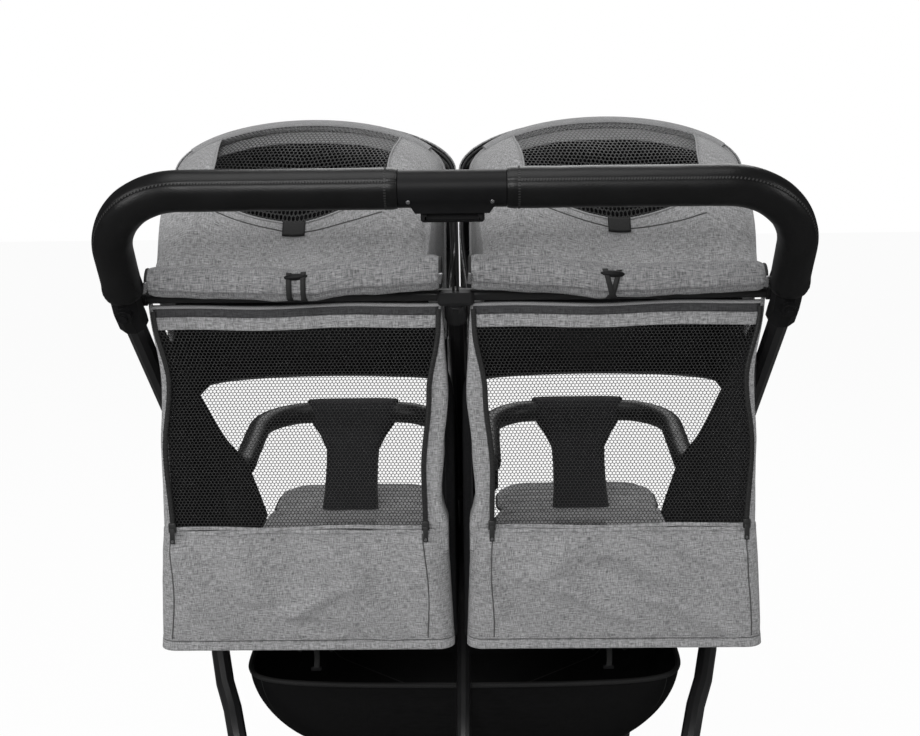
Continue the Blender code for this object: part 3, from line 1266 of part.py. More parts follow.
def build_brake_pedal():
    """The foot pedal, which turns on the axle tube."""
    x = PEDAL_X
    hinge = carrier("brake_hinge", (x, AXLE_Y, AXLE_Z))
    pedal = rod("brake_pedal", (x - PEDAL_HALF, AXLE_Y, AXLE_Z),
                (x + PEDAL_HALF, AXLE_Y, AXLE_Z), PEDAL_RADIUS, BLACK_PLASTIC, sides=20)
    outline = ((AXLE_Y, AXLE_Z + 0.010), (AXLE_Y - 0.040, AXLE_Z + 0.014),
               (AXLE_Y - 0.066, AXLE_Z + 0.006), (AXLE_Y - 0.064, AXLE_Z - 0.001),
               (AXLE_Y - 0.038, AXLE_Z + 0.004), (AXLE_Y, AXLE_Z - 0.008))
    join(pedal, plate_yz("pedal_blade", outline, x - 0.024, x + 0.024, BLACK_PLASTIC, 0.002))
    cut(pedal, rod("pedal_bore", (x - 0.04, AXLE_Y, AXLE_Z), (x + 0.04, AXLE_Y, AXLE_Z),
                   AXLE_RADIUS + GAP, BLACK_PLASTIC, sides=20))
    carry(pedal, hinge)


def build_stroller():
    push_frame = carrier("push_frame", (0.0, HUB_Y, HUB_Z))
    front_frame = carrier("front_frame", (0.0, HUB_Y, HUB_Z))
    recline = {word: carrier("recline_" + word, (side * SEAT_CENTRE, HIP_Y, HIP_Z))
               for word, side in SIDES}
    legs = {word: carrier("legrest_hinge_" + word,
                          (side * SEAT_CENTRE, SEAT_FRONT_Y, SEAT_TUBE_Z))
            for word, side in SIDES}
    bumpers = {word: carrier("bumper_slide_" + word,
                             (side * SEAT_CENTRE, BUMPER_BACK_Y, HUB_Z))
               for word, side in SIDES}
    hoods = {word: carrier("canopy_hinge_" + word,
                           (side * SEAT_CENTRE, CANOPY_Y, CANOPY_Z), push_frame)
             for word, side in SIDES}
    build_rear_legs()
    build_rear_axle()
    build_seat_frame()
    build_side_hubs()
    build_centre_hub()
    build_push_tubes(push_frame)
    guide_foot = build_handle(push_frame)
    lever = carrier("lever_slide", (0.0, HANDLE_Y, guide_foot), push_frame)
    build_release_lever(lever, guide_foot)
    build_handle_joints(push_frame)
    build_cross_bar(push_frame)
    build_flap_rolls(push_frame)
    build_mesh_windows(push_frame)
    build_back_panels()
    build_canopy_rears(push_frame)
    build_canopy_fronts(hoods)
    build_side_wings()
    build_seats()
    build_backrests(recline)
    build_recline_locks(recline)
    build_legrests(legs)
    build_bumper_bars(bumpers)
    build_crotch_covers(bumpers)
    build_basket()
    build_front_frame(front_frame)
    build_casters(front_frame)
    build_rear_wheels()
    build_brake_pedal()


build_stroller()
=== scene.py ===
"""Side-by-side double stroller: the finished look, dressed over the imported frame."""
import math
from functools import partial

import bmesh
import bpy
from mathutils import Euler, Matrix, Vector, noise


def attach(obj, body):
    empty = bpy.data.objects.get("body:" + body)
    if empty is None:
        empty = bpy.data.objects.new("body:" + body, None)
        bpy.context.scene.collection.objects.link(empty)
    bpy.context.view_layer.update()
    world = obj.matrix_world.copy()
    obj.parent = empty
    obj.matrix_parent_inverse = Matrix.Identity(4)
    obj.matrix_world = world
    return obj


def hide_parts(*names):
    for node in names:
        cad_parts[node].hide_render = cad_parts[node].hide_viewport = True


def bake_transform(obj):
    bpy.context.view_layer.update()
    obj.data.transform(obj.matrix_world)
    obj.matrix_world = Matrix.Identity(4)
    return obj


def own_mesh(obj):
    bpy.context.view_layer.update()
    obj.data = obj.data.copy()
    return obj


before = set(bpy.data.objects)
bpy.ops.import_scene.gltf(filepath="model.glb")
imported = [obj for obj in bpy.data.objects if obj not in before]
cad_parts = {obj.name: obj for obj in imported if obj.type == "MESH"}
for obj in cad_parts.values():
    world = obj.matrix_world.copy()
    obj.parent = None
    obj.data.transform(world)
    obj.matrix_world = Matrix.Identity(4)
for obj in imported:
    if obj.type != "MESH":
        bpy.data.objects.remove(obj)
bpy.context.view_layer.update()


# Studio: a pale seamless floor and five soft banks, one of them overhead, and the
# camera at a pusher's eye, looking down over the handlebar.
def added(name, data):
    """A new object of some data, linked into the scene."""
    thing = bpy.data.objects.new(name, data)
    bpy.context.scene.collection.objects.link(thing)
    return thing


def meshed(name, work):
    """A new object of a finished bmesh."""
    mesh = bpy.data.meshes.new(name)
    work.to_mesh(mesh)
    work.free()
    return added(name, mesh)


def turned(degrees, axis):
    return Matrix.Rotation(math.radians(degrees), 4, axis)


EYE = Vector((0.0273, -1.887, 1.132))
EYE_YAW, EYE_TILT, EYE_ROLL = 0.878, 79.0, -0.72
eye = bpy.data.cameras.new("eye")
eye.lens = 57.9
eye.sensor_width = 36.0
eye.sensor_fit = "HORIZONTAL"
camera = added("eye", eye)
camera.matrix_world = Matrix.Translation(EYE) @ (
    turned(EYE_YAW, "Z") @ turned(EYE_TILT, "X") @ turned(EYE_ROLL, "Z"))
bpy.context.scene.camera = camera
bpy.context.scene.view_settings.view_transform = "Standard"

LIT_SPOT = Vector((0.0, -0.05, 0.55))
for label, spot, span, power in (("overhead_bank", (-0.2, -0.7, 2.9), 1.5, 20),
                                 ("left_bank", (-2.3, -1.9, 1.6), 1.0, 22),
                                 ("right_bank", (2.3, -1.2, 1.5), 0.9, 10),
                                 ("rear_bank", (-0.5, -3.2, 2.25), 0.9, 43),
                                 ("front_bank", (0.3, 2.2, 2.6), 1.8, 30)):
    bank = bpy.data.lights.new(label, "AREA")
    bank.size = span
    bank.energy = power
    lamp = added(label, bank)
    lamp.location = spot
    lamp.rotation_euler = (LIT_SPOT - lamp.location).to_track_quat("-Z", "Y").to_euler()


class Wire:
    """One socket of a material's nodes; sums on wires add the Math nodes for them."""

    def __init__(self, tree, socket=None):
        self.tree = tree
        self.socket = socket

    def node(self, kind, feeds=None, out=0, stops=None, **settings):
        """Adds a node: its settings first, then values or wires for its sockets."""
        made = self.tree.nodes.new("ShaderNode" + kind)
        for key, value in settings.items():
            setattr(made, key, value)
        if stops:
            ramp = made.color_ramp
            while len(ramp.elements) < len(stops):
                ramp.elements.new(1.0)
            for element, (place, colour) in zip(ramp.elements, stops):
                element.position = place
                element.color = (*colour, 1.0)
        for key, value in (feeds or {}).items():
            if isinstance(value, Wire):
                self.tree.links.new(value.socket, made.inputs[key])
            else:
                made.inputs[key].default_value = value
        return Wire(self.tree, made.outputs[out])

    def sum(self, operation, first, second):
        return self.node("Math", {0: first, 1: second}, operation=operation)

    def __add__(self, other):
        return self.sum("ADD", self, other)

    def __sub__(self, other):
        return self.sum("SUBTRACT", self, other)

    def __rsub__(self, other):
        return self.sum("SUBTRACT", other, self)

    def __mul__(self, other):
        return self.sum("MULTIPLY", self, other)

    def power(self, other):
        return self.sum("POWER", self, other)

    def clamp(self):
        return self.node("Clamp", {0: self})

    def mix(self, low, high):
        """Colour low where the wire is 0, and colour high where it is 1."""
        return self.node("Mix", {0: self, 6: low, 7: high}, out=2, data_type="RGBA")

    __radd__ = __add__
    __rmul__ = __mul__


def rgb(red, green=None, blue=None):
    return (red, red if green is None else green, red if blue is None else blue, 1.0)


def finish(name, slot_name, **fixed):
    """A new material with its fixed sockets set; returns its wires and what feeds them."""
    material = bpy.data.materials.new(name)
    material.use_nodes = True
    shader = material.node_tree.nodes["Principled BSDF"]
    for key, value in fixed.items():
        shader.inputs[key.replace("_", " ").title().replace("Ior", "IOR")].default_value = value
    material["slot"] = slot_name
    return material, Wire(material.node_tree), shader


def plug(wires, shader, **feeds):
    for key, value in feeds.items():
        wires.tree.links.new(value.socket, shader.inputs[key.replace("_", " ").title()])


def relief(wires, height, strength, distance):
    return wires.node("Bump", {"Height": height, "Strength": strength, "Distance": distance})


def noised(wires, place, scale, detail):
    return wires.node("TexNoise", {"Vector": place, "Scale": scale, "Detail": detail})


def grained(name, slot_name, scale, detail, low, high, bump=0.0, distance=0.0004, **fixed):
    """A plain finish whose colour, and relief if asked, follow one fine grain."""
    material, wires, shader = finish(name, slot_name, **fixed)
    grain = noised(wires, wires.node("TexCoord", out="Object"), scale, detail)
    plug(wires, shader, base_color=grain.mix(rgb(low), rgb(high)))
    if bump:
        plug(wires, shader, normal=relief(wires, grain, bump, distance))
    return material


def give(piece, material, body=None, *hides):
    """Dresses a piece in its finish, rides it on its body and hides what it stands for."""
    piece.data.materials.clear()
    piece.data.materials.append(material)
    if body:
        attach(piece, body)
    if hides:
        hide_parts(*hides)
    return piece


floor_finish, wires, shader = finish("studio_floor", "black_cloth", roughness=0.9,
                                     specular_ior_level=0.0)
sight = wires.node("LightPath", out="Is Camera Ray")
mirrored = wires.node("LightPath", out="Is Glossy Ray")
plug(wires, shader, base_color=mirrored.mix(rgb(0.86), rgb(0.12)))
glow = wires.node("Emission", {"Color": rgb(1.0), "Strength": 1.0})
blend = wires.node("MixShader", {0: sight * 0.95, 1: Wire(wires.tree, shader.outputs[0]),
                                 2: glow})
wires.tree.links.new(blend.socket, wires.tree.nodes["Material Output"].inputs["Surface"])
work = bmesh.new()
bmesh.ops.create_grid(work, x_segments=1, y_segments=1, size=9.0)
floor = meshed("studio_floor", work)
floor.data.materials.append(floor_finish)

sky = bpy.data.worlds.new("studio_sky")
bpy.context.scene.world = sky
sky.use_nodes = True
sky_wires = Wire(sky.node_tree)
seen = sky_wires.node("LightPath", out="Is Camera Ray")
mirrored_ray = sky_wires.node("LightPath", out="Is Glossy Ray")
passed = sky_wires.node("LightPath", out="Is Transmission Ray")
bright = (seen + passed).clamp() * 0.66 - mirrored_ray * 0.28
sky_glow = sky_wires.node("Background", {"Color": rgb(1.0), "Strength": bright + 0.34})
sky_wires.tree.links.new(sky_glow.socket,
                         sky.node_tree.nodes["World Output"].inputs["Surface"])


# Painted tubes: every frame tube is bent aluminium with a satin black powder coat.
# Their solids are kept as they are, with the facets welded and shaded round.
def shade(work, sharp):
    """Smooth faces between edges that turn by sharp degrees or more."""
    for face in work.faces:
        face.smooth = True
    for seam in work.edges:
        seam.smooth = seam.calc_face_angle(0.0) < math.radians(sharp)


def smooth_piece(node, material, body, edge=0.0004, sharp=32):
    """A welded copy of a CAD node, smooth between its sharp edges, over the node."""
    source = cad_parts[node]
    work = bmesh.new()
    work.from_mesh(source.data)
    bmesh.ops.remove_doubles(work, verts=work.verts, dist=0.00002)
    bmesh.ops.dissolve_limit(work, angle_limit=0.002, verts=work.verts, edges=work.edges)
    bmesh.ops.triangulate(work, faces=[f for f in work.faces if len(f.verts) > 4])
    shade(work, sharp)
    piece = meshed(node + "_dressed", work)
    soften = piece.modifiers.new("soft_edge", "BEVEL")
    soften.width = edge
    soften.segments = 2
    soften.limit_method = "ANGLE"
    soften.angle_limit = math.radians(sharp)
    soften.use_clamp_overlap = True
    return give(piece, material, body, node)


powder_coat, wires, shader = finish("powder_coat", "black_paint", coat_weight=0.12,
                                    coat_roughness=0.25, specular_ior_level=0.30)
place = wires.node("TexCoord", out="Object")
orange_peel = noised(wires, place, 900.0, 2.0)
dust = noised(wires, place, 14.0, 6.0)
rub = noised(wires, place, 60.0, 5.0)
plug(wires, shader,
     base_color=(dust * 0.6 + rub * 0.4).mix(rgb(0.0075), rgb(0.017, 0.017, 0.018)),
     roughness=dust * 0.14 + rub * 0.10 + 0.24,
     normal=relief(wires, orange_peel, 0.10, 0.0003))

for body, names in (
        ("chassis", "rear_leg_left rear_leg_right rear_leg_centre rear_axle seat_frame"),
        ("push_frame", "push_tube_left push_tube_right push_tube_centre handlebar cross_bar"),
        ("front_frame", "front_leg_left front_leg_right front_cross_tube")):
    for node in names.split():
        smooth_piece(node, powder_coat, body)


# Moulded parts: hubs, sockets, sleeve, forks, rims and locks are black glass-filled
# nylon with the fine spark grain of their moulds, a little paler where it is scuffed.
moulded_nylon, wires, shader = finish("moulded_nylon", "black_plastic",
                                      specular_ior_level=0.15)
place = wires.node("TexCoord", out="Object")
spark = wires.node("TexVoronoi", {"Vector": place, "Scale": 1400.0}, out="Distance")
haze = noised(wires, place, 22.0, 5.0)
scuff = wires.node("TexNoise", {"Vector": place, "Scale": 110.0, "Detail": 8.0,
                                "Roughness": 0.75})
plug(wires, shader,
     base_color=(haze * 0.5 + scuff * 0.5).mix(rgb(0.003), rgb(0.010, 0.010, 0.011)),
     roughness=haze * 0.16 + scuff * 0.12 + 0.32,
     normal=relief(wires, spark * 0.7 + scuff * 0.6, 0.16, 0.0003))
MOULDED = [("chassis", "hub_left hub_right hub_centre"),
           ("push_frame", "handle_hub handle_joint_left handle_joint_right"),
           ("release", "release_lever"), ("brake", "brake_pedal")]
MOULDED += [("%s_%s" % (mover, word), "%s_%s" % (node, word))
            for mover, node in (("caster", "caster_fork"), ("front_wheel", "front_rim"),
                                ("rear_wheel", "rear_rim")) for word in ("left", "right")]
for body, names in MOULDED:
    for node in names.split():
        smooth_piece(node, moulded_nylon, body, edge=0.0005)


# Grey marl cloth: a plain-woven polyester of light and dark yarns. Its weave follows
# each cut piece through the piece's own UV map, which is laid out in metres.
def yarns(wires, cloth_map, along, across):
    """Streaks of yarn, so many to the metre along and across the thread."""
    laid = wires.node("Mapping", {"Vector": cloth_map, "Scale": (along, across, 1.0)})
    return wires.node("TexNoise", {"Vector": laid, "Scale": 1.0, "Detail": 3.0,
                                   "Roughness": 0.65})


def woven(name, slot_name, dark, light, contrast, **fixed):
    """A plain-woven cloth between a dark and a light yarn colour."""
    material, wires, shader = finish(name, slot_name, **fixed)
    cloth_map = wires.node("TexCoord", out="UV")
    warp = yarns(wires, cloth_map, 1350.0, 120.0)
    weft = yarns(wires, cloth_map, 130.0, 1300.0)
    slub = yarns(wires, cloth_map, 60.0, 620.0)
    patch = noised(wires, cloth_map, 16.0, 4.0)
    tone = ((warp + weft - 1.0) * contrast + (slub - 0.5) * (contrast * 0.45)
            + (patch - 0.5) * 0.30 + 0.5).clamp()
    ribs = [wires.node("TexWave", {"Vector": cloth_map, "Scale": 190.0}, wave_type="BANDS",
                       bands_direction=way) for way in "XY"]
    raised = (warp + weft) * 0.8 + ribs[0] * 0.35 + ribs[1] * 0.35
    plug(wires, shader, base_color=tone.mix(rgb(*dark), rgb(*light)),
         roughness=tone * 0.10 + 0.82, normal=relief(wires, raised, 0.34, 0.0004))
    return material


marl_cloth = woven("marl_cloth", "grey_cloth", (0.098, 0.098, 0.100), (0.39, 0.39, 0.394), 2.3,
                   sheen_weight=0.10, specular_ior_level=0.15)
# A darker copy of the same grey marl for the rolled flaps: painted shade, because the roll catches
# less light than the panels.
shaded_roll_cloth = woven("shaded_roll_cloth", "grey_cloth", (0.072, 0.072, 0.074), (0.30, 0.30, 0.304), 2.2,
                   specular_ior_level=0.15)
# A much darker copy of the same grey marl: painted shade, for the grey cloth that lies in the
# shadow of the rolled flap.
painted_shade_cloth = woven("painted_shade_cloth", "grey_cloth", (0.016, 0.016, 0.017), (0.082, 0.082, 0.085), 1.4,
                    specular_ior_level=0.15)
black_cloth = woven("black_cloth", "black_cloth", (0.006, 0.006, 0.007),
                    (0.024, 0.024, 0.026), 1.2, specular_ior_level=0.15)


def thicken(piece, thick):
    wall = piece.modifiers.new("cloth", "SOLIDIFY")
    wall.thickness = thick
    wall.offset = 0.0


def cut_cloth(name, cells, flat, place, thick=0.0016,
              hole=None):
    """A sheet laid by place(u, v), with a weave map scaled to flat = (width, height).

    hole(u, v) is true where the cloth is cut out.
    """
    work = bmesh.new()
    weave = work.loops.layers.uv.new("weave")
    bmesh.ops.create_grid(work, x_segments=cells[0], y_segments=cells[1], size=0.5)
    for face in work.faces:
        face.smooth = True
        for loop in face.loops:
            loop[weave].uv = ((loop.vert.co.x + 0.5) * flat[0],
                              (loop.vert.co.y + 0.5) * flat[1])
    for vert in work.verts:
        vert.co = place(vert.co.x + 0.5, vert.co.y + 0.5)
    spots = [vert.co for vert in work.verts]
    wide = cells[0] + 1
    rows = [spots[start:start + wide] for start in range(0, len(spots), wide)]
    width = max(sum((a - b).length for a, b in zip(row, row[1:])) for row in rows)
    length = max(sum((a - b).length for a, b in zip(line, line[1:])) for line in zip(*rows))
    if hole:
        gone = []
        for face in work.faces:
            spot = sum((loop[weave].uv for loop in face.loops), Vector((0.0, 0.0))) / 4
            if hole(spot.x / flat[0], spot.y / flat[1]):
                gone.append(face)
        bmesh.ops.delete(work, geom=gone, context="FACES")
    area = sum(face.calc_area() for face in work.faces)
    piece = meshed(name, work)
    if thick:
        thicken(piece, thick)
    if min(width, length) >= 0.01:
        max(0.3 * width * length, min(width * length, area))
    return piece


def ripple(point, size, height, seed=0.0):
    """A soft, uneven rise and fall of cloth at a place, the same on every run."""
    spot = Vector(point) / size + Vector((seed, seed * 1.7, -seed))
    return height * (noise.noise(spot) + 0.45 * noise.noise(spot * 2.3))


def creases(u, v, lines):
    """The height of sewn-in folds, each line as start, end, breadth and height."""
    rise = 0.0
    spot = Vector((u, v))
    for start, end, breadth, height in lines:
        run = Vector(end) - Vector(start)
        share = max(0.0, min(1.0, (spot - Vector(start)).dot(run) / run.length_squared))
        gap = (spot - Vector(start) - run * share).length
        rise += height * math.exp(-(gap / breadth) ** 2) * (1.0 - 0.5 * share)
    return rise


def through(place, knots):
    """An even curve through (place, value) knots."""
    for (start, low), (end, high) in zip(knots, knots[1:]):
        if place <= end:
            share = max(0.0, (place - start) / (end - start))
            return low + (high - low) * share * share * (3 - 2 * share)
    return knots[-1][1]


def built(name, work, sharp=40):
    """Makes an object of a bmesh, shaded smooth between its sharp edges."""
    bmesh.ops.recalc_face_normals(work, faces=work.faces)
    shade(work, sharp)
    return meshed(name, work)


def swept(name, points, radius, sides=8, closed=False):
    """A round strand bent through points, as a mesh with its ends closed."""
    path = bpy.data.curves.new(name, "CURVE")
    path.dimensions = "3D"
    run = path.splines.new("POLY")
    run.points.add(len(points) - 1)
    for knot, point in zip(run.points, points):
        knot.co = (*point, 1.0)
    run.use_cyclic_u = closed
    path.bevel_depth = radius
    path.bevel_resolution = max(0, sides // 2 - 2)
    path.use_fill_caps = True
    source = added(name, path)
    bpy.context.view_layer.update()
    mesh = bpy.data.meshes.new_from_object(source)
    bpy.data.objects.remove(source)
    work = bmesh.new()
    work.from_mesh(mesh)
    bpy.data.meshes.remove(mesh)
    bmesh.ops.remove_doubles(work, verts=work.verts, dist=0.000005)
    return built(name, work, 50)


def strand(name, points, radius, material, body=None, sides=8, closed=False):
    """A strand in its finish, riding on its body."""
    return give(swept(name, points, radius, sides, closed), material, body)


def curved(place, knots):
    """A smooth curve through (place, value) knots, leaning as its neighbours do."""
    last = len(knots) - 2
    for number, ((start, low), (end, high)) in enumerate(zip(knots, knots[1:])):
        if place <= end or number == last:
            before, after = knots[max(number - 1, 0)], knots[min(number + 2, last + 1)]
            span = end - start
            share = max(0.0, min(1.0, (place - start) / span))
            lean = (high - before[1]) / (end - before[0]) * span
            leave = (after[1] - low) / (after[0] - start) * span
            return (low + share * lean + share ** 2 * (3 * (high - low) - 2 * lean - leave)
                    + share ** 3 * (lean + leave - 2 * (high - low)))


# Back panels: the grey cloth ends of the reclined seats. Each is cut from one width,
# turned forward at both sides and hemmed into a piped edge under the backrest.
SIDES = (("left", -1), ("right", 1))
SEAT_X = 0.174
SILL = 0.651
WALL_CORNER = 0.018
PANEL_FOOT = 0.505
FOLD_DEPTH = 1.7
seam_thread = grained("seam_thread", "grey_cloth", 900.0, 2.0, 0.03, 0.09, roughness=0.8)
PANEL_FOLDS = {
    -1: (((0.30, 1.00), (0.38, 0.42), 0.040, 0.0085), ((0.17, 0.85), (0.29, 0.12), 0.050, 0.0075),
         ((0.60, 0.80), (0.72, 0.10), 0.042, 0.0095), ((0.47, 0.30), (0.62, 0.55), 0.034, 0.0060),
         ((0.45, 0.95), (0.50, 0.55), 0.050, -0.0070), ((0.52, 0.20), (0.66, 0.06), 0.040, -0.0060),
         ((0.82, 0.92), (0.86, 0.10), 0.024, 0.0050), ((0.79, 0.66), (0.89, 0.62), 0.016, 0.0030)),
    1: (((0.14, 0.80), (0.20, 0.30), 0.024, 0.0055), ((0.36, 0.52), (0.53, 0.24), 0.036, 0.0090),
        ((0.40, 0.95), (0.30, 0.60), 0.045, 0.0075), ((0.60, 0.92), (0.76, 0.72), 0.040, 0.0075),
        ((0.62, 0.42), (0.80, 0.10), 0.044, 0.0080), ((0.47, 0.72), (0.60, 0.50), 0.040, -0.0065),
        ((0.84, 0.80), (0.88, 0.15), 0.022, 0.0050), ((0.11, 0.55), (0.19, 0.50), 0.016, 0.0032))}


def rounded_end(run, reach, corner):
    """How far a strip goes on, and how far forward, once it turns a corner at reach."""
    past = max(0.0, run - reach)
    turn = min(past / (corner * math.pi / 2), 1.0) * math.pi / 2
    return (corner * math.sin(turn),
            corner * (1.0 - math.cos(turn)) + max(0.0, past - corner * math.pi / 2))


def wall_point(side, u, half, rear, depth):
    """A point on a wall that runs across the seat's rear and turns forward at its ends."""
    along = (u * 2.0 - 1.0) * (half + depth)
    reach = min(abs(along), half - WALL_CORNER)
    on, ahead = rounded_end(abs(along), reach, WALL_CORNER)
    return math.copysign(reach + on, along) + side * SEAT_X, rear + ahead


def panel_point(side, u, v):
    half = 0.1660 - (0.0060 if (u - 0.5) * side < 0 else 0.0140) * v
    rear = -0.302 - 0.029 * math.sin(v * math.pi / 2)
    x, y = wall_point(side, u, half, rear, 0.050)
    z = PANEL_FOOT + (SILL - 0.0004 - PANEL_FOOT) * v
    held = math.sin(math.pi * min(1.0, max(0.0, v)))
    rise = creases(u, v, PANEL_FOLDS[side]) * held ** 0.5 * FOLD_DEPTH
    rise += ripple((x, 0.0, z), 0.030, 0.0016 * held, side * 3.0)
    return Vector((x, y - rise - 0.0012, z + ripple((x, 2.0, v), 0.04, 0.0012 * v, side)))


def strip_point(side, low, high, lift, u, v):
    """A hem's strip on the panel, between two heights, standing off its lower edge."""
    return (panel_point(side, u, low + (high - low) * v)
            + Vector((0.0, -lift * (1.0 - v * 0.55), 0.0)))


for word, side in SIDES:
    panel = cut_cloth("rear_panel_" + word, (120, 56), (0.43, 0.150), partial(panel_point, side))
    give(panel, marl_cloth, "chassis", "back_panel_" + word)
    for label, low, high, lift, cells in (("flange", -0.020, 0.052, 0.0052, 4),
                                          ("fold", 0.060, 0.074, 0.0012, 2),
                                          ("edge", 0.972, 1.000, 0.0010, 3)):
        give(cut_cloth("rear_panel_%s_%s" % (label, word), (110, cells),
                       (0.43, (high - low) * 0.146),
                       partial(strip_point, side, low, high, lift), 0.0018),
             marl_cloth, "chassis")
    for label, u in (("left", 0.150 if side < 0 else 0.178),
                     ("right", 0.822 if side < 0 else 0.850)):
        line = []
        for step in range(41):
            v = 0.96 - 0.90 * step / 40
            sway = 0.006 * math.sin(5.0 * v + side)
            line.append(panel_point(side, u + sway, v) + Vector((0.0, -0.0009, 0.0)))
        strand("rear_panel_seam_%s_%s" % (label, word), line, 0.0007, seam_thread, "chassis")


# Mesh windows: a knitted six-sided net in a grey hem, zipped along both sides into
# cloth returns that run forward along the seat, from the cross bar to the sill.
def knitted_net(name, slot_name, pitch, thread, tone):
    """A net of six-sided holes, cut out by the alpha of its own UV map in metres."""
    material, wires, shader = finish(name, slot_name, roughness=0.55,
                                     specular_ior_level=0.35)
    cloth_map = wires.node("TexCoord", out="UV")
    scaled = wires.node("Mapping", {"Vector": cloth_map, "Scale": (1 / pitch, 1.12 / pitch, 1.0)})
    across = wires.node("SeparateXYZ", {0: scaled}, out=0)
    up = wires.node("SeparateXYZ", {0: scaled}, out=1) * (1 / math.sqrt(3))
    cells = []
    for shift in (0.0, 0.5):
        x = (across + shift).sum("FRACT", across + shift, 0.0) - 0.5
        y = ((up + shift).sum("FRACT", up + shift, 0.0) - 0.5) * math.sqrt(3)
        x, y = x.sum("ABSOLUTE", x, 0.0), y.sum("ABSOLUTE", y, 0.0)
        cells.append(x.sum("MAXIMUM", x, x * 0.5 + y * (math.sqrt(3) / 2)))
    ring = cells[0].sum("MINIMUM", *cells)
    solid = ((ring - (0.5 - thread / pitch / 2)) * 14.0 + 0.5).clamp()
    twist = noised(wires, cloth_map, 900.0, 2.0)
    plug(wires, shader, base_color=twist.mix(rgb(tone * 0.5), rgb(tone * 1.6)), alpha=solid,
         normal=relief(wires, ring + twist * 0.2, 0.35, 0.0006))
    return material


window_net = knitted_net("window_net", "black_net", 0.0041, 0.00082, 0.022)
WALL_TOP = 0.9032
NET_TOP = 0.895


def wall_plane(v):
    """The (y, z) of the window wall from the sill, 0, up to the cross bar, 1."""
    return -0.3312 - 0.0064 * v, SILL + (WALL_TOP - SILL) * v


def ease(value, low, high):
    share = max(0.0, min(1.0, (value - low) / (high - low)))
    return share * share * (3 - 2 * share)


def zip_line(hand, v):
    """How far a zip stands from the seat's middle; hand is 1 for the outer zip."""
    if hand > 0:
        return through(v, ((0.0, 0.1392), (0.35, 0.1428), (0.66, 0.1345), (0.95, 0.1470),
                           (1.0, 0.1478)))
    return -through(v, ((0.0, 0.1378), (0.26, 0.1367), (0.60, 0.1438), (0.90, 0.1548),
                        (1.0, 0.1560)))


def wall_edge(hand, v):
    """How far the cloth beyond a zip reaches before it turns forward."""
    if hand > 0:
        return through(v, ((0.0, 0.1492), (0.35, 0.1478), (0.66, 0.1432), (1.0, 0.1518)))
    return through(v, ((0.0, 0.1615), (0.14, 0.1545), (0.35, 0.1580), (0.60, 0.1632),
                       (0.85, 0.1600), (1.0, 0.1575)))


def net_point(side, u, v):
    low, high = zip_line(-1, v * NET_TOP), zip_line(1, v * NET_TOP)
    y, z = wall_plane(v * NET_TOP)
    slack = math.sin(math.pi * u) * math.sin(math.pi * v)
    return Vector((side * (SEAT_X + low + (high - low) * u),
                   y + 0.0035 * slack + ripple((u, side, v), 0.25, 0.0012 * slack), z))


def hem_point(side, low, high, lift, u, v):
    share = low + (high - low) * v
    x = zip_line(-1, share) + (zip_line(1, share) - zip_line(-1, share)) * u
    y, z = wall_plane(share)
    wave = 0.0016 * math.sin(9.0 * u + side) * math.sin(math.pi * u)
    return Vector((side * (SEAT_X + x), y - lift + ripple((x, side, v), 0.05, 0.0006), z + wave))


def return_point(side, hand, u, v):
    """The cloth return: out from a zip, round the wall's edge and forward."""
    v = 1.12 * v - 0.12
    y, z = wall_plane(v)
    y += 0.0036 * ease(-v, -0.02, 0.03)
    start = abs(zip_line(hand, v))
    width = wall_edge(hand, v) - start
    depth = 0.043 - 0.028 * v
    run = u * (width + depth)
    corner = min(0.006, width * 0.9)
    on, deep = rounded_end(run, width - corner, corner)
    x = start + min(run, width - corner) + on
    puff = ripple((hand, u * 2 + side, v * 3), 0.6, 0.0016) * math.sin(math.pi * v)
    return Vector((side * (SEAT_X + hand * (x + puff * 0.4)), y + deep - 0.0006 + puff * 0.3, z))


def over_fold(piece):
    """The window wall spans the fold joint; this only bakes the piece's placement into its mesh."""
    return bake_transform(piece)


zip_black = grained("zip_black", "black_plastic", 700.0, 3.0, 0.008, 0.030, 0.2, 0.0003,
                    roughness=0.42)
bright_metal, wires, shader = finish("bright_metal", "black_paint", metallic=1.0)
grain = noised(wires, wires.node("TexCoord", out="Object"), 420.0, 4.0)
plug(wires, shader, base_color=grain.mix(rgb(0.52), rgb(0.72, 0.72, 0.74)),
     roughness=grain * 0.25 + 0.16)


def block(work, low, high, turn=None, about=None, edge=0.0):
    """Adds a box with softened edges to a bmesh, turned about a point if asked."""
    size = Vector(high) - Vector(low)
    middle = (Vector(high) + Vector(low)) / 2
    made = bmesh.ops.create_cube(work, size=1.0)["verts"]
    bmesh.ops.scale(work, vec=size, verts=made)
    if edge:
        rim = list({seam for vert in made for seam in vert.link_edges})
        grown = bmesh.ops.bevel(work, geom=rim, offset=edge, segments=2, affect="EDGES",
                                profile=0.5, material=-1)
        made = list(set(grown["verts"]) | {vert for vert in made if vert.is_valid})
    bmesh.ops.translate(work, vec=middle, verts=made)
    if turn:
        bmesh.ops.rotate(work, cent=about or middle, matrix=Euler(turn).to_matrix(), verts=made)
    return made


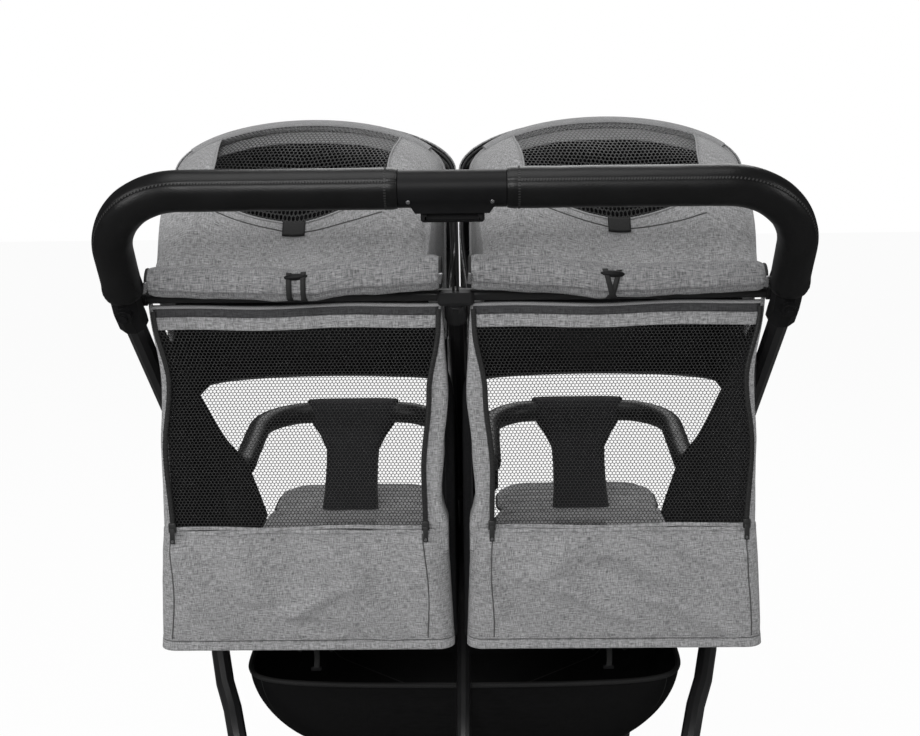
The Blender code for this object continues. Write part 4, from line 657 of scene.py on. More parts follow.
for word, side in SIDES:
    net = cut_cloth("window_net_" + word, (40, 36), (0.29, 0.225), partial(net_point, side), 0.0)
    give(net, window_net, None, "mesh_window_" + word)
    over_fold(net)
    # Above the hem, the window's grey cloth is the much darker copy: painted shade cast by the
    # rolled flap.
    for label, low, high, lift, cloth in (("hem", 0.888, 0.942, 0.0016, marl_cloth),
                                          ("shaded_head_band", 0.938, 0.994, 0.0004, painted_shade_cloth),
                                          ("sill_hem", 0.000, 0.016, 0.0012, marl_cloth)):
        band = cut_cloth("window_%s_%s" % (label, word), (60, 6), (0.29, (high - low) * 0.252),
                         partial(hem_point, side, low, high, lift), 0.0014)
        over_fold(give(band, cloth))
    line = [hem_point(side, 0.985, 0.985, 0.0020, step / 40, 0.5) for step in range(41)]
    over_fold(strand("window_piping_" + word, line, 0.0018, marl_cloth))
    for hand, label in ((1, "outer"), (-1, "inner")):
        flank = cut_cloth("window_return_%s_%s" % (label, word), (22, 60), (0.055, 0.252),
                          partial(return_point, side, hand))
        over_fold(give(flank, marl_cloth))
        line = [Vector((side * (SEAT_X + zip_line(hand, step / 60)),
                        wall_plane(step / 60)[0] - 0.0022, wall_plane(step / 60)[1]))
                for step in range(59)]
        over_fold(strand("zip_tape_%s_%s" % (label, word), line, 0.0029, zip_black))
        work = bmesh.new()
        spacing = 0
        for here, beyond in zip(line, line[1:]):
            for share in (0.25, 0.75):
                spot = here.lerp(beyond, share)
                sway = 0.0009 * (1 if spacing % 2 else -1)
                block(work, spot + Vector((sway - 0.0014, -0.0030, -0.0005)),
                      spot + Vector((sway + 0.0014, -0.0020, 0.0005)))
                spacing += 1
        teeth = built("zip_teeth_%s_%s" % (label, word), work)
        over_fold(give(teeth, zip_black))
        foot = line[0]
        work = bmesh.new()
        block(work, foot + Vector((-0.0040, -0.0052, -0.0005)),
              foot + Vector((0.0040, -0.0010, 0.0100)), edge=0.0010)
        block(work, foot + Vector((-0.0028, -0.0064, -0.0130)),
              foot + Vector((0.0028, -0.0050, 0.0040)), edge=0.0006)
        over_fold(give(built("zip_pull_%s_%s" % (label, word), work), zip_black))
        stud = [foot + Vector((0, -0.0072, -0.010)), foot + Vector((0, -0.0052, -0.010))]
        over_fold(strand("zip_stop_%s_%s" % (label, word), stud, 0.0016, bright_metal))


# Rolled window covers: each is a grey flap rolled up over the cross bar, bound in
# black at both ends and held by a pair of elastic loops and a toggle.
ROLL = Vector((0.0, -0.3581, 0.9305))
ROLL_X, ROLL_HALF = 0.1680, 0.1538
ROLL_START, ROLL_TURNS = 200, 2.35
LOOP_START, LOOP_END, LOOP_STEPS = 128, 300, 24
LOOP_WIDTH, LOOP_APART, LOOP_LIFT = 0.0056, 0.0075, 0.0012


def roll_form(across):
    """The roll's radius and drop, from its inner end, -1, to its outer end, 1."""
    radius = through(across, ((-1.0, 0.0204), (-0.5, 0.0206), (-0.13, 0.0200), (0.0, 0.0176),
                              (0.14, 0.0192), (0.6, 0.0182), (1.0, 0.0168)))
    drop = through(across, ((-1.0, -0.0050), (-0.5, -0.0010), (0.0, 0.0068), (0.45, 0.0042),
                            (1.0, 0.0022)))
    return radius, drop


def roll_point(side, u, v):
    """The flap winds inwards from its outer edge, 0, to its heart, 1."""
    angle = math.radians(ROLL_START) - v * ROLL_TURNS * 2 * math.pi
    across = side * (u * 2 - 1)
    girth, drop = roll_form(across)
    radius = girth * (1 - 0.55 * v) - 0.0026 * ease(abs(across), 0.94, 1.0)
    radius += ripple((across * 2.2, math.cos(angle) * 0.5, math.sin(angle) * 0.5 + side), 0.5,
                     0.0016) * (1 - v)
    radius += 0.0022 * math.exp(-((across + 0.16) / 0.05) ** 2) * math.sin(angle * 2.0) * (1 - v)
    return on_roll(side * (ROLL_X + across * ROLL_HALF), drop, radius, angle)


def on_roll(x, drop, radius, angle):
    """A point about the roll's line, at an angle that grows from straight ahead."""
    return Vector((x, ROLL.y + radius * math.cos(angle),
                   ROLL.z - drop + radius * math.sin(angle)))


def roll_skin(side, x, drop, degrees):
    """The roll's outermost radius at a place, which a loop lies on."""
    wound = (ROLL_START - degrees + (360 if degrees > ROLL_START else 0)) / (360 * ROLL_TURNS)
    skin = roll_point(side, ((x - side * ROLL_X) / ROLL_HALF + 1) / 2, wound)
    return math.hypot(skin.y - ROLL.y, skin.z - ROLL.z + drop)


binding = grained("binding", "black_cloth", 800.0, 3.0, 0.006, 0.026, 0.4, roughness=0.7,
                  specular_ior_level=0.3)
elastic, wires, shader = finish("elastic", "black_cloth", roughness=0.8)
place = wires.node("TexCoord", out="Object")
rib = wires.node("TexWave", {"Vector": place, "Scale": 260.0, "Distortion": 0.6},
                 wave_type="BANDS", bands_direction="Z")
plug(wires, shader, base_color=rib.mix(rgb(0.004), rgb(0.022)),
     normal=relief(wires, rib, 0.5, 0.0003))

for word, side in SIDES:
    roll = cut_cloth("rolled_flap_" + word, (110, 130), (0.296, 0.24), partial(roll_point, side),
                     0.0015)
    # The roll wears the darker copy of the grey marl, so its shade is painted into its colour.
    give(roll, shaded_roll_cloth, "push_frame", "flap_roll_" + word)
    for label, end in (("a", 0.004), ("b", 0.996)):
        strand("roll_binding_%s_%s" % (word, label),
               [roll_point(side, end, step / 90) for step in range(91)], 0.0019, binding,
               "push_frame")
        tip = roll_point(side, end, 0.02) + Vector((0.0, -0.003, -0.002))
        work = bmesh.new()
        block(work, tip - Vector((0.0022, 0.0012, 0.0060)), tip + Vector((0.0022, 0.0012, 0.0060)),
              turn=(0.2, 0.15, 0.0), edge=0.0008)
        give(built("roll_zip_end_%s_%s" % (word, label), work), bright_metal, "push_frame")
    middle = side * ROLL_X + (0.0040 if side < 0 else -0.0060)
    girth, drop = roll_form(0.0)
    crossing = 0.0 if side < 0 else 1.0
    turn_step = (LOOP_END - LOOP_START) / LOOP_STEPS
    for label, hand in (("a", -1), ("b", 1)):
        points = []
        for step in range(LOOP_STEPS + 1):
            sway = hand * (LOOP_APART - crossing * 2 * LOOP_APART * step / LOOP_STEPS)
            reach = max(roll_skin(side, middle + sway, drop, LOOP_START + turn_step * (step + near))
                        for near in range(-3, 4))
            points.append(on_roll(middle + sway, drop, reach + LOOP_LIFT,
                                  math.radians(LOOP_START + turn_step * step)))
        work = bmesh.new()
        bmesh.ops.create_grid(work, x_segments=1, y_segments=LOOP_STEPS, size=0.5)
        for vert in work.verts:
            spot = points[round((vert.co.y + 0.5) * LOOP_STEPS)]
            vert.co = spot + Vector((vert.co.x * LOOP_WIDTH, 0.0, 0.0))
        strap = built("elastic_loop_%s_%s" % (word, label), work)
        thicken(strap, 0.0011)
        give(strap, elastic, "push_frame")
    knob = bmesh.new()
    bmesh.ops.create_uvsphere(knob, u_segments=24, v_segments=12, radius=1.0)
    bmesh.ops.scale(knob, vec=(0.0132, 0.0040, 0.0038), verts=knob.verts)
    bmesh.ops.rotate(knob, matrix=Euler((0, 0.05 * side, 0)).to_matrix(), cent=(0, 0, 0),
                     verts=knob.verts)
    bmesh.ops.translate(knob, vec=(middle, ROLL.y - girth * 0.84, ROLL.z - drop + girth * 0.62),
                        verts=knob.verts)
    give(built("roll_toggle_" + word, knob), moulded_nylon, "push_frame")


# Rear hoods: the fixed half of each canopy, from the rolled flap up to the ridge bow.
# A net vent is let in under the ridge, faced below with a stitched grey band.
RIDGE = Vector((-0.0882, 1.0827))
RIDGE_FOOT = Vector((-0.2015, 0.8397))
ROLL_FOOT = Vector((-0.3176, 0.9060))
BOW_SIDE, BOW_TOP = 0.22, 0.56
BOW_BEND = 0.76
VENT_HALF = 0.0965
HOOD_FOLDS = (((0.30, 0.02), (0.42, 0.36), 0.026, 0.0046),
              ((0.68, 0.02), (0.60, 0.30), 0.024, 0.0042),
              ((0.24, 0.10), (0.30, 0.60), 0.024, -0.0044),
              ((0.76, 0.04), (0.70, 0.50), 0.024, -0.0050),
              ((0.50, 0.00), (0.52, 0.20), 0.028, -0.0034),
              ((0.36, 0.22), (0.31, 0.06), 0.020, 0.0040),
              ((0.62, 0.08), (0.68, 0.28), 0.022, -0.0036))


def bow_shape(s, half):
    """One bow: s runs 0 to 1 from foot to foot; gives how far across, and its rise."""
    if s < BOW_SIDE:
        return -half, BOW_BEND * s / BOW_SIDE
    if s > 1 - BOW_SIDE:
        return half, BOW_BEND * (1 - s) / BOW_SIDE
    angle = math.pi * (1 - (s - BOW_SIDE) / BOW_TOP)
    return math.cos(angle) * half, BOW_BEND + (1 - BOW_BEND) * math.sin(angle)


def hood_half(v):
    """Half the hood's width, drawn in towards the rolled flap at its foot."""
    return through(v, ((0.0, 0.1440), (0.45, 0.1515), (0.85, 0.1550), (1.0, 0.1575)))


def bow_place(x, v):
    """The place s along the hood, at height v, that stands x to the side of the middle."""
    across = max(-1.0, min(1.0, x / hood_half(v)))
    return BOW_SIDE + BOW_TOP * (1 - math.acos(across) / math.pi)


def hood_spot(side, s, v):
    """A point of the rear hood: v runs from the rolled flap, 0, to the ridge, 1."""
    across, rise = bow_shape(s, hood_half(v))
    girth, drop = roll_form(side * across / 0.16)
    seam = Vector((ROLL.y + (girth + 0.0010) * 0.80, ROLL.z - drop + (girth + 0.0010) * 0.60))
    crown = RIDGE.lerp(seam, 1 - v) + Vector((-0.020, 0.030)) * math.sin(math.pi * (1 - v))
    foot = RIDGE_FOOT.lerp(ROLL_FOOT, 1 - v)
    spot = foot.lerp(crown, rise)
    return Vector((side * SEAT_X + across, spot.x, spot.y))


def hood_point(side, s, v, lift=0.0):
    """The same place with the cloth's slack, lifted off the surface if asked."""
    here = hood_spot(side, s, v)
    along = hood_spot(side, min(1.0, s + 0.01), v) - hood_spot(side, max(0.0, s - 0.01), v)
    up = hood_spot(side, s, min(1.0, v + 0.01)) - hood_spot(side, s, max(0.0, v - 0.01))
    out = up.cross(along).normalized()
    if out.dot(Vector((math.copysign(0.4, s - 0.5), -0.5, 0.8))) < 0:
        out = -out
    held = math.sin(math.pi * v) * math.sin(math.pi * s)
    slack = -0.0035 * math.sin(math.pi * v) ** 2 * math.sin(math.pi * s) ** 2
    slack += ripple((s * 7, v * 2.2, side), 1.0, 0.0026) * held
    slack += creases(s, v, HOOD_FOLDS) * held ** 0.5
    return here + out * (slack + lift)


def vent_half(v):
    return through(v, ((0.30, 0.0960), (0.55, 0.0985), (1.0, 0.1070)))


def vent_foot(x):
    return 0.208 + 15.5 * x * x


def hood_cut(side, u, t):
    """The hood's cloth, its threads led round the vent: u and t are 0.3 at the vent's edge."""
    share = max(-1.0, min(1.0, (u - 0.5) / 0.2))
    foot = vent_foot(share * VENT_HALF)
    v = foot * t / 0.3 if t < 0.3 else foot + (1 - foot) * (t - 0.3) / 0.7
    edge = bow_place(share * vent_half(v), v)
    if u < 0.3:
        edge *= u / 0.3
    elif u > 0.7:
        edge += (1 - edge) * (u - 0.7) / 0.3
    return hood_point(side, edge, v)


def vent_point(side, u, v):
    """A point of the net, from the vent's lower edge, 0, to under the ridge, 1."""
    x = (u * 2 - 1) * vent_half(0.35 + 0.65 * v)
    low = vent_foot(x)
    high = low + (0.975 - low) * v
    return hood_point(side, bow_place(x, high), high)


def hood_line(side, spots, lift):
    """A line on the hood through (how far across, height) spots."""
    return [hood_point(side, bow_place(x, v), v, lift) for x, v in spots]


vent_net = knitted_net("vent_net", "black_net", 0.0049, 0.0013, 0.0035)
for word, side in SIDES:
    hood = cut_cloth("rear_hood_" + word, (150, 80), (0.62, 0.31), partial(hood_cut, side),
                     hole=lambda u, v: 0.3 < u < 0.7 and 0.3 < v < 0.97)
    give(hood, marl_cloth, "push_frame", "canopy_rear_" + word)
    give(cut_cloth("hood_vent_" + word, (60, 44), (0.212, 0.110), partial(vent_point, side), 0.0),
         vent_net, "push_frame")
    lining = cut_cloth("hood_vent_lining_" + word, (50, 10), (0.23, 0.07),
                       lambda u, v, side=side: hood_point(
                           side, bow_place((u * 2 - 1) * 0.118, 0.85), 0.80 + 0.18 * v, -0.0080),
                       0.0008)
    give(lining, marl_cloth, "push_frame")
    edge = [(x, vent_foot(x)) for x in [(step / 30 - 1) * VENT_HALF for step in range(61)]]
    strand("hood_vent_facing_" + word, hood_line(side, edge, 0.0010), 0.0013, marl_cloth,
           "push_frame")
    arc = [(x, 0.168 + 11.0 * (x - 0.012) ** 2)
           for x in [-0.090 + 0.185 * step / 60 for step in range(61)]]
    strand("hood_vent_stitch_" + word, hood_line(side, arc, 0.0009), 0.0007, seam_thread,
           "push_frame")
    for label, hand in (("left", -1), ("right", 1)):
        edge = [(hand * vent_half(v), v) for v in [0.35 + 0.62 * step / 24 for step in range(25)]]
        strand("hood_vent_side_%s_%s" % (label, word), hood_line(side, edge, 0.0008), 0.0012,
               marl_cloth, "push_frame")
    line = [hood_spot(side, bow_place(-0.1400 + 0.2800 * step / 48, 1.0), 1.0)
            + Vector((0, -0.0052, -0.0018)) for step in range(49)]
    sleeve = strand("ridge_sleeve_" + word, line, 0.0068, marl_cloth, "push_frame", 14)
    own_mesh(sleeve)
    for label, start in (("left", 0.0), ("right", 1.0)):
        inner = bow_place(-0.139 if start == 0 else 0.139, 1.0)
        line = [hood_point(side, start + (inner - start) * step / 20, 0.99, 0.0006)
                for step in range(21)]
        strand("ridge_piping_%s_%s" % (label, word), line, 0.0026, marl_cloth, "push_frame")
        line = [hood_point(side, start, step / 30, 0.0004) for step in range(31)]
        strand("hood_foot_%s_%s" % (label, word), line, 0.0019, marl_cloth, "push_frame")
    tab = cut_cloth("hood_tab_" + word, (10, 8), (0.024, 0.017),
                    lambda u, v, side=side: hood_point(
                        side, bow_place(-0.011 + 0.024 * u, 0.18), 0.153 + 0.058 * v, 0.0022),
                    0.0024)
    give(tab, binding, "push_frame")


# Front hoods: the swinging half, cloth panels over four bows, with a black lining
# that shows from behind through the window. It folds back over the rear hood.
PIVOT = Vector((-0.220, 0.800))
BOWS = (8.0, 27.0, 46.0, 64.0)
HOOD_RADIUS, HOOD_HALF = 0.3150, 0.1628
RIDGE_ANGLE = 65.0


def bow_reach(rise):
    return 0.14 + 0.86 * rise


def brim_angle(rise):
    """The brim hangs level, so its angle from the pivot falls towards the sides."""
    return -math.degrees(math.asin(min(0.40, 0.060 / (0.3156 * bow_reach(rise)))))


def front_point(side, s, v, inset=0.0):
    """A point of the front hood: v runs from the brim, 0, to the ridge, 1."""
    across, rise = bow_shape(s, HOOD_HALF - inset)
    across *= 1.0 + (0.056 * ease(rise, 0.15, 0.5) if across * side < 0 else 0.0)
    low = brim_angle(rise)
    angle = low + (RIDGE_ANGLE - low) * v
    near = min(abs(angle - bow) for bow in BOWS + (low,))
    slack = 0.0075 * math.sin(math.pi * min(1.0, near / 9.5) / 2) ** 1.3
    slack *= max(0.0, math.sin(math.pi * s)) * ease(rise, 0.3, 0.8)
    slack += ripple((s * 6, v * 5, side + 4), 1.0, 0.0016) * math.sin(math.pi * v)
    radius = (HOOD_RADIUS - inset - max(0.0, slack)) * bow_reach(rise)
    turn = math.radians(angle)
    return Vector((side * SEAT_X + across, PIVOT.x + radius * math.cos(turn),
                   PIVOT.y + radius * math.sin(turn)))


lining_cloth = woven("lining_cloth", "black_cloth", (0.010, 0.010, 0.011),
                     (0.036, 0.036, 0.038), 1.0, specular_ior_level=0.12)
for word, side in SIDES:
    body = "canopy_" + word
    hood = cut_cloth("front_hood_" + word, (96, 84), (0.62, 0.42), partial(front_point, side))
    give(hood, marl_cloth, body, "canopy_front_" + word)
    inside = cut_cloth("front_hood_lining_" + word, (72, 60), (0.62, 0.38),
                       lambda u, v, side=side: front_point(side, 0.004 + 0.992 * u,
                                                           0.004 + 0.93 * v, 0.0036), 0.0008)
    give(inside, lining_cloth, body)
    for number, bow in enumerate(BOWS):
        line = []
        for step in range(61):
            s = 0.01 + 0.98 * step / 60
            low = brim_angle(bow_shape(s, 0.16)[1])
            line.append(front_point(side, s, (bow - low) / (RIDGE_ANGLE - low), 0.0028))
        strand("hood_bow_%s_%d" % (word, number), line, 0.0028, powder_coat, body, 10)
    line = [front_point(side, step / 70, 0.002, 0.0004) for step in range(71)]
    strand("hood_brim_" + word, line, 0.0027, marl_cloth, body, 10)
    band = cut_cloth("hood_brim_band_" + word, (80, 6), (0.62, 0.022),
                     lambda u, v, side=side: front_point(side, u, 0.004 + 0.060 * v, 0.0048),
                     0.0010)
    give(band, black_cloth, body)
    for label, s in (("left", 0.0), ("right", 1.0)):
        line = [front_point(side, s, step / 30, 0.0002) for step in range(31)]
        strand("hood_side_%s_%s" % (label, word), line, 0.0018, marl_cloth, body)


# Side wings: black cloth cheeks that close each seat. The outer one hangs from the
# push tube and runs down to the pan; the inner one stands beside the middle frame.
WING_REAR, WING_FOOT = -0.2995, 0.5080
WING_FOLDS = (((0.05, 0.98), (0.42, 0.05), 0.045, 0.0050),
              ((0.22, 0.92), (0.60, 0.08), 0.045, -0.0040),
              ((0.42, 0.85), (0.78, 0.10), 0.040, 0.0042),
              ((0.62, 0.80), (0.90, 0.12), 0.035, -0.0032))


def fold_along(piece):
    """A wing spans the fold joint, chassis at its foot and push frame at its head; this only bakes
    its placement into its mesh.
    """
    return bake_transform(piece)


def wing_point(side, inner, u, v):
    rear, front = WING_REAR, (0.0290 if inner else 0.0840)
    y = rear + (front - rear) * u
    if inner:
        tube = 0.6 + (0.020 - y) * 0.804
        head = tube + 0.010 - 0.012 * math.sin(math.pi * u)
        below = (tube - WING_FOOT - (head - WING_FOOT) * v) * 0.78
        x = 0.0050 + 0.0135 * math.exp(-(below / 0.021) ** 2)
        x += (0.0275 - x) * ease(y, -0.115, -0.065)
        x += (0.0150 - x) * ease(-y, 0.275, 0.2995)
        foot_x = x
    else:
        x = curved(y, ((WING_REAR, 0.3255), (-0.14, 0.3150), (-0.05, 0.3030), (0.02, 0.2900),
                       (0.084, 0.2740)))
        foot_x = 0.3205 + (0.2880 - 0.3205) * u + 0.0040 * math.sin(math.pi * v)
        head = curved(y, ((WING_REAR, 0.8780), (-0.14, 0.7600), (-0.05, 0.6850),
                          (0.022, 0.6340), (0.055, 0.5900), (0.084, 0.5450)))
    z = WING_FOOT + (head - WING_FOOT) * v
    held = math.sin(math.pi * u) * (1 - abs(2 * v - 1) ** 3)
    drift = creases(u, v, WING_FOLDS) * held + ripple((u * 3, v * 3, side), 1.0, 0.0024) * held
    across = foot_x + (x - foot_x) * v ** 0.8
    return Vector((side * (across + (drift * 0.4 if inner else -drift)), y, z))


for word, side in SIDES:
    seam = [wing_point(side, False, 0.60 - 0.03 * step / 30, 0.02 + 0.60 * step / 30)
            + Vector((side * -0.0012, -0.0008, 0)) for step in range(31)]
    fold_along(strand("cheek_seam_" + word, seam, 0.0011, binding))
    for kind, inner in (("", False), ("inner_", True)):
        wing = cut_cloth("cheek_%s%s" % (kind, word), (80, 52), (0.38, 0.30),
                         partial(wing_point, side, inner))
        fold_along(give(wing, lining_cloth, None, "side_wing_%s%s" % (kind, word)))
        line = [wing_point(side, inner, step / 50, 1.0) for step in range(51)]
        line += [wing_point(side, inner, 1.0, 1 - step / 12) for step in range(1, 13)]
        fold_along(strand("cheek_binding_%s%s" % (kind, word), line, 0.0022, binding))


# Grips: foam tubes sewn into black leatherette, one long seam on the upper rear side
# and one round seam beside the sleeve. They follow the handle round both corners.
def bent(corners, radius, steps):
    """A line through corners, with its inner corners rounded off as arcs."""
    corners = [Vector(corner) for corner in corners]
    line = [corners[0]]
    for before, corner, after in zip(corners, corners[1:], corners[2:]):
        back, ahead = (before - corner).normalized(), (after - corner).normalized()
        half = back.angle(ahead) / 2
        start = corner + back * radius / math.tan(half)
        centre = corner + (back + ahead).normalized() * radius / math.sin(half)
        axis = ahead.cross(back)
        for step in range(steps + 1):
            spin = Matrix.Rotation((math.pi - 2 * half) * step / steps, 3, axis)
            line.append(centre + spin @ (start - centre))
    return line + [corners[-1]]


def evenly(line, spacing):
    """The same line with points at an even spacing, and how far along each one is."""
    points, runs, run = [line[0].copy()], [0.0], 0.0
    for here, beyond in zip(line, line[1:]):
        length = (beyond - here).length
        count = max(1, round(length / spacing))
        for step in range(1, count + 1):
            points.append(here.lerp(beyond, step / count))
            runs.append(run + length * step / count)
        run += length
    return points, runs


def frames_along(points, normal):
    """(tangent, normal) pairs that turn with a line, without twisting about it."""
    frames, normal = [], Vector(normal)
    for number in range(len(points)):
        ahead = points[min(number + 1, len(points) - 1)] - points[max(number - 1, 0)]
        tangent = ahead.normalized()
        normal = (normal - tangent * normal.dot(tangent)).normalized()
        frames.append((tangent, normal.copy()))
    return frames


def tubed(work, rings):
    """Faces between rings of corners, each ring joined to the next one."""
    faces = []
    for ring, beyond in zip(rings, rings[1:]):
        for step, corner in enumerate(ring):
            after = (step + 1) % len(ring)
            faces.append(work.faces.new((corner, ring[after], beyond[after], beyond[step])))
    return faces


def sleeved(name, points, frames, radii, sides, dent):
    """A round skin along framed points, with its own UV map in metres."""
    work = bmesh.new()
    weave = work.loops.layers.uv.new("weave")
    rings, run = [], [0.0]
    for here, beyond in zip(points, points[1:]):
        run.append(run[-1] + (beyond - here).length)
    for number, (point, (tangent, normal)) in enumerate(zip(points, frames)):
        other = tangent.cross(normal)
        ring = []
        for step in range(sides):
            angle = 2 * math.pi * step / sides
            radius = radii[number] + dent(run[number], angle)
            ring.append(work.verts.new(point + normal * (math.cos(angle) * radius)
                                       + other * (math.sin(angle) * radius)))
        rings.append(ring)
    for count, face in enumerate(tubed(work, rings)):
        number, step = divmod(count, sides)
        turn = 2 * math.pi * radii[number] / sides
        corners = ((step, number), (step + 1, number), (step + 1, number + 1), (step, number + 1))
        for loop, (across, along) in zip(face.loops, corners):
            loop[weave].uv = (across * turn, run[along])
    work.faces.new(rings[0])
    work.faces.new(rings[-1])
    return built(name, work, 50)


leatherette, wires, shader = finish("leatherette", "leatherette", specular_ior_level=0.26,
                                    coat_weight=0.04, coat_roughness=0.30)
skin_map = wires.node("TexCoord", out="UV")
pebble = wires.node("TexVoronoi", {"Vector": skin_map, "Scale": 620.0}, out="Distance")
pore = noised(wires, skin_map, 1500.0, 3.0)
wear = noised(wires, skin_map, 26.0, 6.0)
plug(wires, shader, base_color=wear.mix(rgb(0.0030), rgb(0.0080, 0.0080, 0.0084)),
     roughness=wear * 0.22 + pore * 0.10 + 0.22,
     normal=relief(wires, pebble * 0.8 + pore * 0.5, 0.28, 0.0004))
stitching = grained("stitching", "leatherette", 1200.0, 2.0, 0.010, 0.034, roughness=0.55)

GRIP = 0.0203
HANDLE = Vector((0.0, -0.44964, 1.03002))
HANDLE_FOOT = Vector((0.0, -0.36884, 0.91999))
HANDLE_HALF, HANDLE_BEND = 0.344, 0.080
SEAM_SIDE = (0.0, -0.914, 0.407)


def handle_line(side, start, spacing):
    """The handle's core from start to its foot, with its runs and its frames."""
    line, runs = evenly(bent(((side * start, HANDLE.y, HANDLE.z),
                              (side * HANDLE_HALF, HANDLE.y, HANDLE.z),
                              (side * HANDLE_HALF, HANDLE_FOOT.y, HANDLE_FOOT.z)),
                             HANDLE_BEND, 40), spacing)
    return line, runs, frames_along(line, SEAM_SIDE)


def grip_dent(side, total, run, angle):
    """Creases, most of them where the grip bends, and the groove of its long seam."""
    bend = math.exp(-((run - total * 0.72) / 0.055) ** 2)
    fold = ripple((run * 26, math.cos(angle) * 0.8, math.sin(angle) * 0.8 + side), 1.0, 1.0)
    seam = -0.0007 * math.exp(-((angle if angle < math.pi else angle - 2 * math.pi)
                                * GRIP / 0.0011) ** 2)
    return fold * (0.00022 + 0.00065 * bend) + seam


for word, side in SIDES:
    line, runs, frames = handle_line(side, 0.0530, 0.0042)
    total = runs[-1]
    girths = ((0.0, 0.955), (0.003, 1.0), (0.0095, 1.002), (0.0115, 0.986), (0.0135, 1.002),
              (total - 0.016, 1.0), (total - 0.010, 1.045), (total - 0.002, 1.045), (total, 0.97))
    radii = [GRIP * through(run, girths) for run in runs]
    skin = sleeved("grip_skin_" + word, line, frames, radii, 96, partial(grip_dent, side, total))
    give(skin, leatherette, "push_frame", "grip_" + word)
    work = bmesh.new()
    spaced, spaced_runs, turns = handle_line(side, 0.0640, 0.0030)
    for point, run, (tangent, normal) in zip(spaced, spaced_runs, turns):
        if run > spaced_runs[-1] - 0.016:
            break
        other = tangent.cross(normal)
        turn = Matrix((tangent, other, normal)).transposed()
        stitch = block(work, (-0.0008, -0.0012, -0.0004), (0.0008, 0.0012, 0.0006))
        bmesh.ops.rotate(work, cent=(0, 0, 0), verts=stitch,
                         matrix=turn @ Matrix.Rotation(0.5, 3, "Z"))
        bmesh.ops.translate(work, vec=point + normal * (GRIP - 0.0003), verts=stitch)
    for step in range(46):
        angle = 2 * math.pi * step / 46
        outward = Vector((0.0, math.cos(angle), math.sin(angle)))
        stitch = block(work, (-0.0011, -0.0006, -0.0004), (0.0011, 0.0006, 0.0005))
        turn = Matrix((Vector((1, 0, 0)), outward.cross(Vector((1, 0, 0))) * -1, outward))
        bmesh.ops.rotate(work, cent=(0, 0, 0), matrix=turn.transposed(), verts=stitch)
        bmesh.ops.translate(work, verts=stitch, vec=outward * (GRIP * 0.99)
                            + Vector((side * 0.0645, HANDLE.y, HANDLE.z)))
    give(built("grip_stitches_" + word, work), stitching, "push_frame")


# Sleeve screws: four small cross-head screws in the moulded middle of the handle.
for label, x, turn, radius in (("a", -0.0425, -41, 0.0024), ("b", 0.0385, -41, 0.0024),
                               ("c", -0.0050, -62, 0.0020), ("d", 0.0050, -62, 0.0020)):
    work = bmesh.new()
    bmesh.ops.create_cone(work, cap_ends=True, segments=24, radius1=radius,
                          radius2=radius * 0.8, depth=0.0014)
    for angle in (0.4, 0.4 + math.pi / 2):
        block(work, (-radius * 0.65, -0.0003, 0.0004), (radius * 0.65, 0.0003, 0.0009),
              turn=(0, 0, angle), about=(0, 0, 0))
    head = built("sleeve_screw_" + label, work)
    normal = Vector((0.0, -math.cos(math.radians(turn)), math.sin(math.radians(turn))))
    head.data.transform(Matrix.Translation(Vector((x, HANDLE.y, HANDLE.z)) + normal * 0.0189)
                        @ normal.to_track_quat("Z", "X").to_matrix().to_4x4())
    give(head, bright_metal if label in "ab" else moulded_nylon, "push_frame")


# Bumper bars: a foam-covered arch across each seat, plugged into two housings.
# Each arm ends in a bare plug with a round release button on its outer face.
BAR = Vector((0.0, 0.363, 0.626))
ARM_HALF, ARM_FOOT = 0.1375, (0.135, 0.600)


def foam_dent(side, run, angle):
    return ripple((run * 24, math.cos(angle) * 0.7, math.sin(angle) * 0.7 + side), 1.0, 0.0004)


for word, side in SIDES:
    body = "bumper_" + word
    left, right = side * SEAT_X - ARM_HALF, side * SEAT_X + ARM_HALF
    line, runs = evenly(bent(((left, *ARM_FOOT), (left, *BAR.yz), (right, *BAR.yz),
                              (right, *ARM_FOOT)), 0.080, 30), 0.006)
    total = runs[-1]
    girths = ((0.0, 0.90), (0.0025, 1.0), (total - 0.0025, 1.0), (total, 0.90))
    foam = sleeved("bumper_foam_" + word, line, frames_along(line, (0.0, 0.11, 1.0)),
                   [0.0160 * through(run, girths) for run in runs], 40, partial(foam_dent, side))
    give(foam, leatherette, body, "bumper_bar_" + word)
    for label, hand, x in (("left", -1, left), ("right", 1, right)):
        work = bmesh.new()
        block(work, (x - 0.0050, 0.1000, 0.5805), (x + 0.0050, 0.1440, 0.6105), edge=0.0015)
        for number in range(3):
            low = 0.108 + 0.008 * number
            block(work, (x - 0.0056, low, 0.5860), (x + 0.0056, low + 0.0024, 0.6050),
                  edge=0.0004)
        give(built("bumper_plug_%s_%s" % (label, word), work), moulded_nylon, body)
        work = bmesh.new()
        bmesh.ops.create_cone(work, cap_ends=True, segments=36, radius1=0.0080,
                              radius2=0.0066, depth=0.0030)
        button = built("bumper_button_%s_%s" % (label, word), work, 30)
        button.data.transform(Matrix.Translation((x + hand * 0.0165, 0.152, 0.6020))
                              @ Matrix.Rotation(math.radians(hand * 90), 4, "Y"))
        give(button, moulded_nylon, body)


